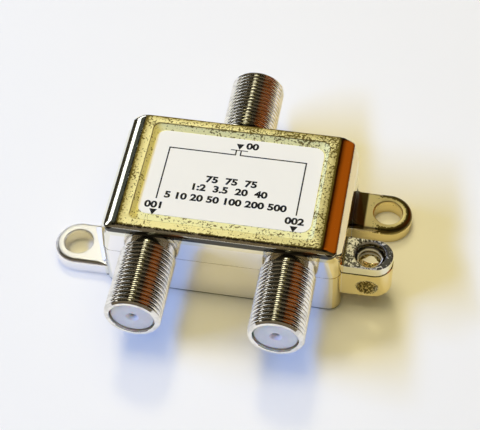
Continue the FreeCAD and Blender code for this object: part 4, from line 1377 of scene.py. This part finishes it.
def resistor_finish(node):
    """Black ceramic with a tinned cap at each end."""
    low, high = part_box(node)
    finish = Finish("chip_ceramic")
    span, middle_x = (high.x - low.x) / 2, (high.x + low.x) / 2
    cap = (finish.place.axis("X") - middle_x).size().step(span - 0.38 * MM, span - 0.34 * MM)
    grain = finish.place.noise(0.1 * MM, 2.0)
    body = grain.blend((0.015, 0.015, 0.016), (0.04, 0.04, 0.042))
    finish.feed("Base Color", cap.blend(body, (0.75, 0.74, 0.71)))
    finish.feed("Metallic", cap)
    finish.feed("Roughness", grain * 0.2 + 0.3)
    return finish.material


def capacitor_finish():
    """Ochre lacquer over a ceramic disc, with leads that show where it ends."""
    finish = Finish("ochre_lacquer", Coat_Weight=0.4)
    cloud = finish.place.noise(0.7 * MM, 2.0)
    leads = finish.place.axis("Z").past(7.85, 7.7)
    lacquer = cloud.blend((0.42, 0.16, 0.03), (0.58, 0.25, 0.06))
    finish.feed("Base Color", leads.blend(lacquer, (0.72, 0.71, 0.68)))
    finish.feed("Metallic", leads)
    finish.feed("Roughness", cloud * 0.2 + 0.2)
    finish.feed("Normal", cloud.bump(0.03 * MM))
    return finish.material


def diode_finish(node):
    """Black moulded body with a pale band; the leads beyond it are tinned."""
    low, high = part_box(node)
    middle_x = (low.x + high.x) / 2
    finish = Finish("diode_case")
    along = finish.place.axis("X") - middle_x
    leads = along.size().past(2.08, 2.12)
    band = along.within(1.1, 1.14, 1.62, 1.66)
    grain = finish.place.noise(0.15 * MM, 2.0)
    body = grain.blend((0.012, 0.012, 0.013), (0.035, 0.035, 0.037))
    finish.feed("Base Color", leads.blend(band.blend(body, (0.62, 0.61, 0.58)), (0.75, 0.74, 0.71)))
    finish.feed("Metallic", leads)
    finish.feed("Roughness", grain * 0.2 + 0.28)
    finish.feed("Normal", grain.bump(0.01 * MM))
    return finish.material


def solder_finish():
    """Solder, bright with dull patches."""
    finish = Finish("solder", Metallic=1.0)
    patch = finish.place.noise(0.6 * MM, 3.0)
    finish.feed("Base Color", patch.blend((0.62, 0.62, 0.60), (0.80, 0.80, 0.79)))
    finish.feed("Roughness", patch.step(0.3, 0.7, 0.12, 0.4))
    finish.feed("Normal", patch.bump(0.03 * MM))
    return finish.material


def paint_node(name, material):
    """Give a node of the frame its finish."""
    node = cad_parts[name]
    if not node.material_slots:
        node.data.materials.append(material)
    for holder in node.material_slots:
        holder.material = material


class SPLITTER_OT_inside(bpy.types.Operator):
    """Give the back plate, its bead and everything inside their finishes"""

    bl_idname = "splitter.inside"
    bl_label = "Finishes inside and below"

    def execute(self, context):
        shared = {
            "back_plate": tin_finish(),
            "back_seal": sealant_finish(),
            "circuit_board": board_finish(),
            "terminal_joints": solder_finish(),
            "isolation_resistor": resistor_finish("isolation_resistor"),
        }
        shared["ground_joints"] = shared["terminal_joints"]
        kinds = (
            ("contact", contact_finish()),
            ("core", ferrite_finish()),
            ("winding", copper_finish()),
            ("capacitor", capacitor_finish()),
        )
        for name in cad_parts:
            for ending, material in kinds:
                if name.endswith(ending):
                    shared[name] = material
            if name.endswith("diode"):
                shared[name] = diode_finish(name)
        for name, material in shared.items():
            paint_node(name, material)
        return {"FINISHED"}


class SPLITTER_PT_panel(bpy.types.Panel):
    """Lists what can be built"""

    bl_label = "Coaxial splitter"
    bl_idname = "SPLITTER_PT_panel"
    bl_space_type = "VIEW_3D"
    bl_region_type = "UI"
    bl_category = "Splitter"

    def draw(self, context):
        column = self.layout.column()
        for operator in STEPS:
            column.operator(operator.bl_idname)


GROUPS = {
    "splitter_casting": SplitterCasting,
    "splitter_ears": SplitterEars,
    "splitter_ports": SplitterPorts,
    "splitter_colours": SplitterColours,
    "splitter_studio": SplitterStudio,
}
STEPS = (
    SPLITTER_OT_studio,
    SPLITTER_OT_box,
    SPLITTER_OT_ears,
    SPLITTER_OT_lug,
    SPLITTER_OT_ports,
    SPLITTER_OT_cores,
    SPLITTER_OT_label,
    SPLITTER_OT_inside,
)


def register():
    """Register the property groups, the operators and the panel."""
    for name, group in GROUPS.items():
        bpy.utils.register_class(group)
        setattr(bpy.types.Scene, name, bpy.props.PointerProperty(type=group))
    for each in (*STEPS, SPLITTER_PT_panel):
        bpy.utils.register_class(each)


def unregister():
    """Take them all away again."""
    for each in (SPLITTER_PT_panel, *reversed(STEPS)):
        bpy.utils.unregister_class(each)
    for name, group in reversed(GROUPS.items()):
        delattr(bpy.types.Scene, name)
        bpy.utils.unregister_class(group)


def main():
    """Build everything in order."""
    register()
    bpy.ops.splitter.studio()
    bpy.ops.splitter.box()
    bpy.ops.splitter.ears()
    bpy.ops.splitter.lug()
    bpy.ops.splitter.ports()
    bpy.ops.splitter.cores()
    bpy.ops.splitter.label()
    bpy.ops.splitter.inside()


if __name__ == "__main__":
    main()
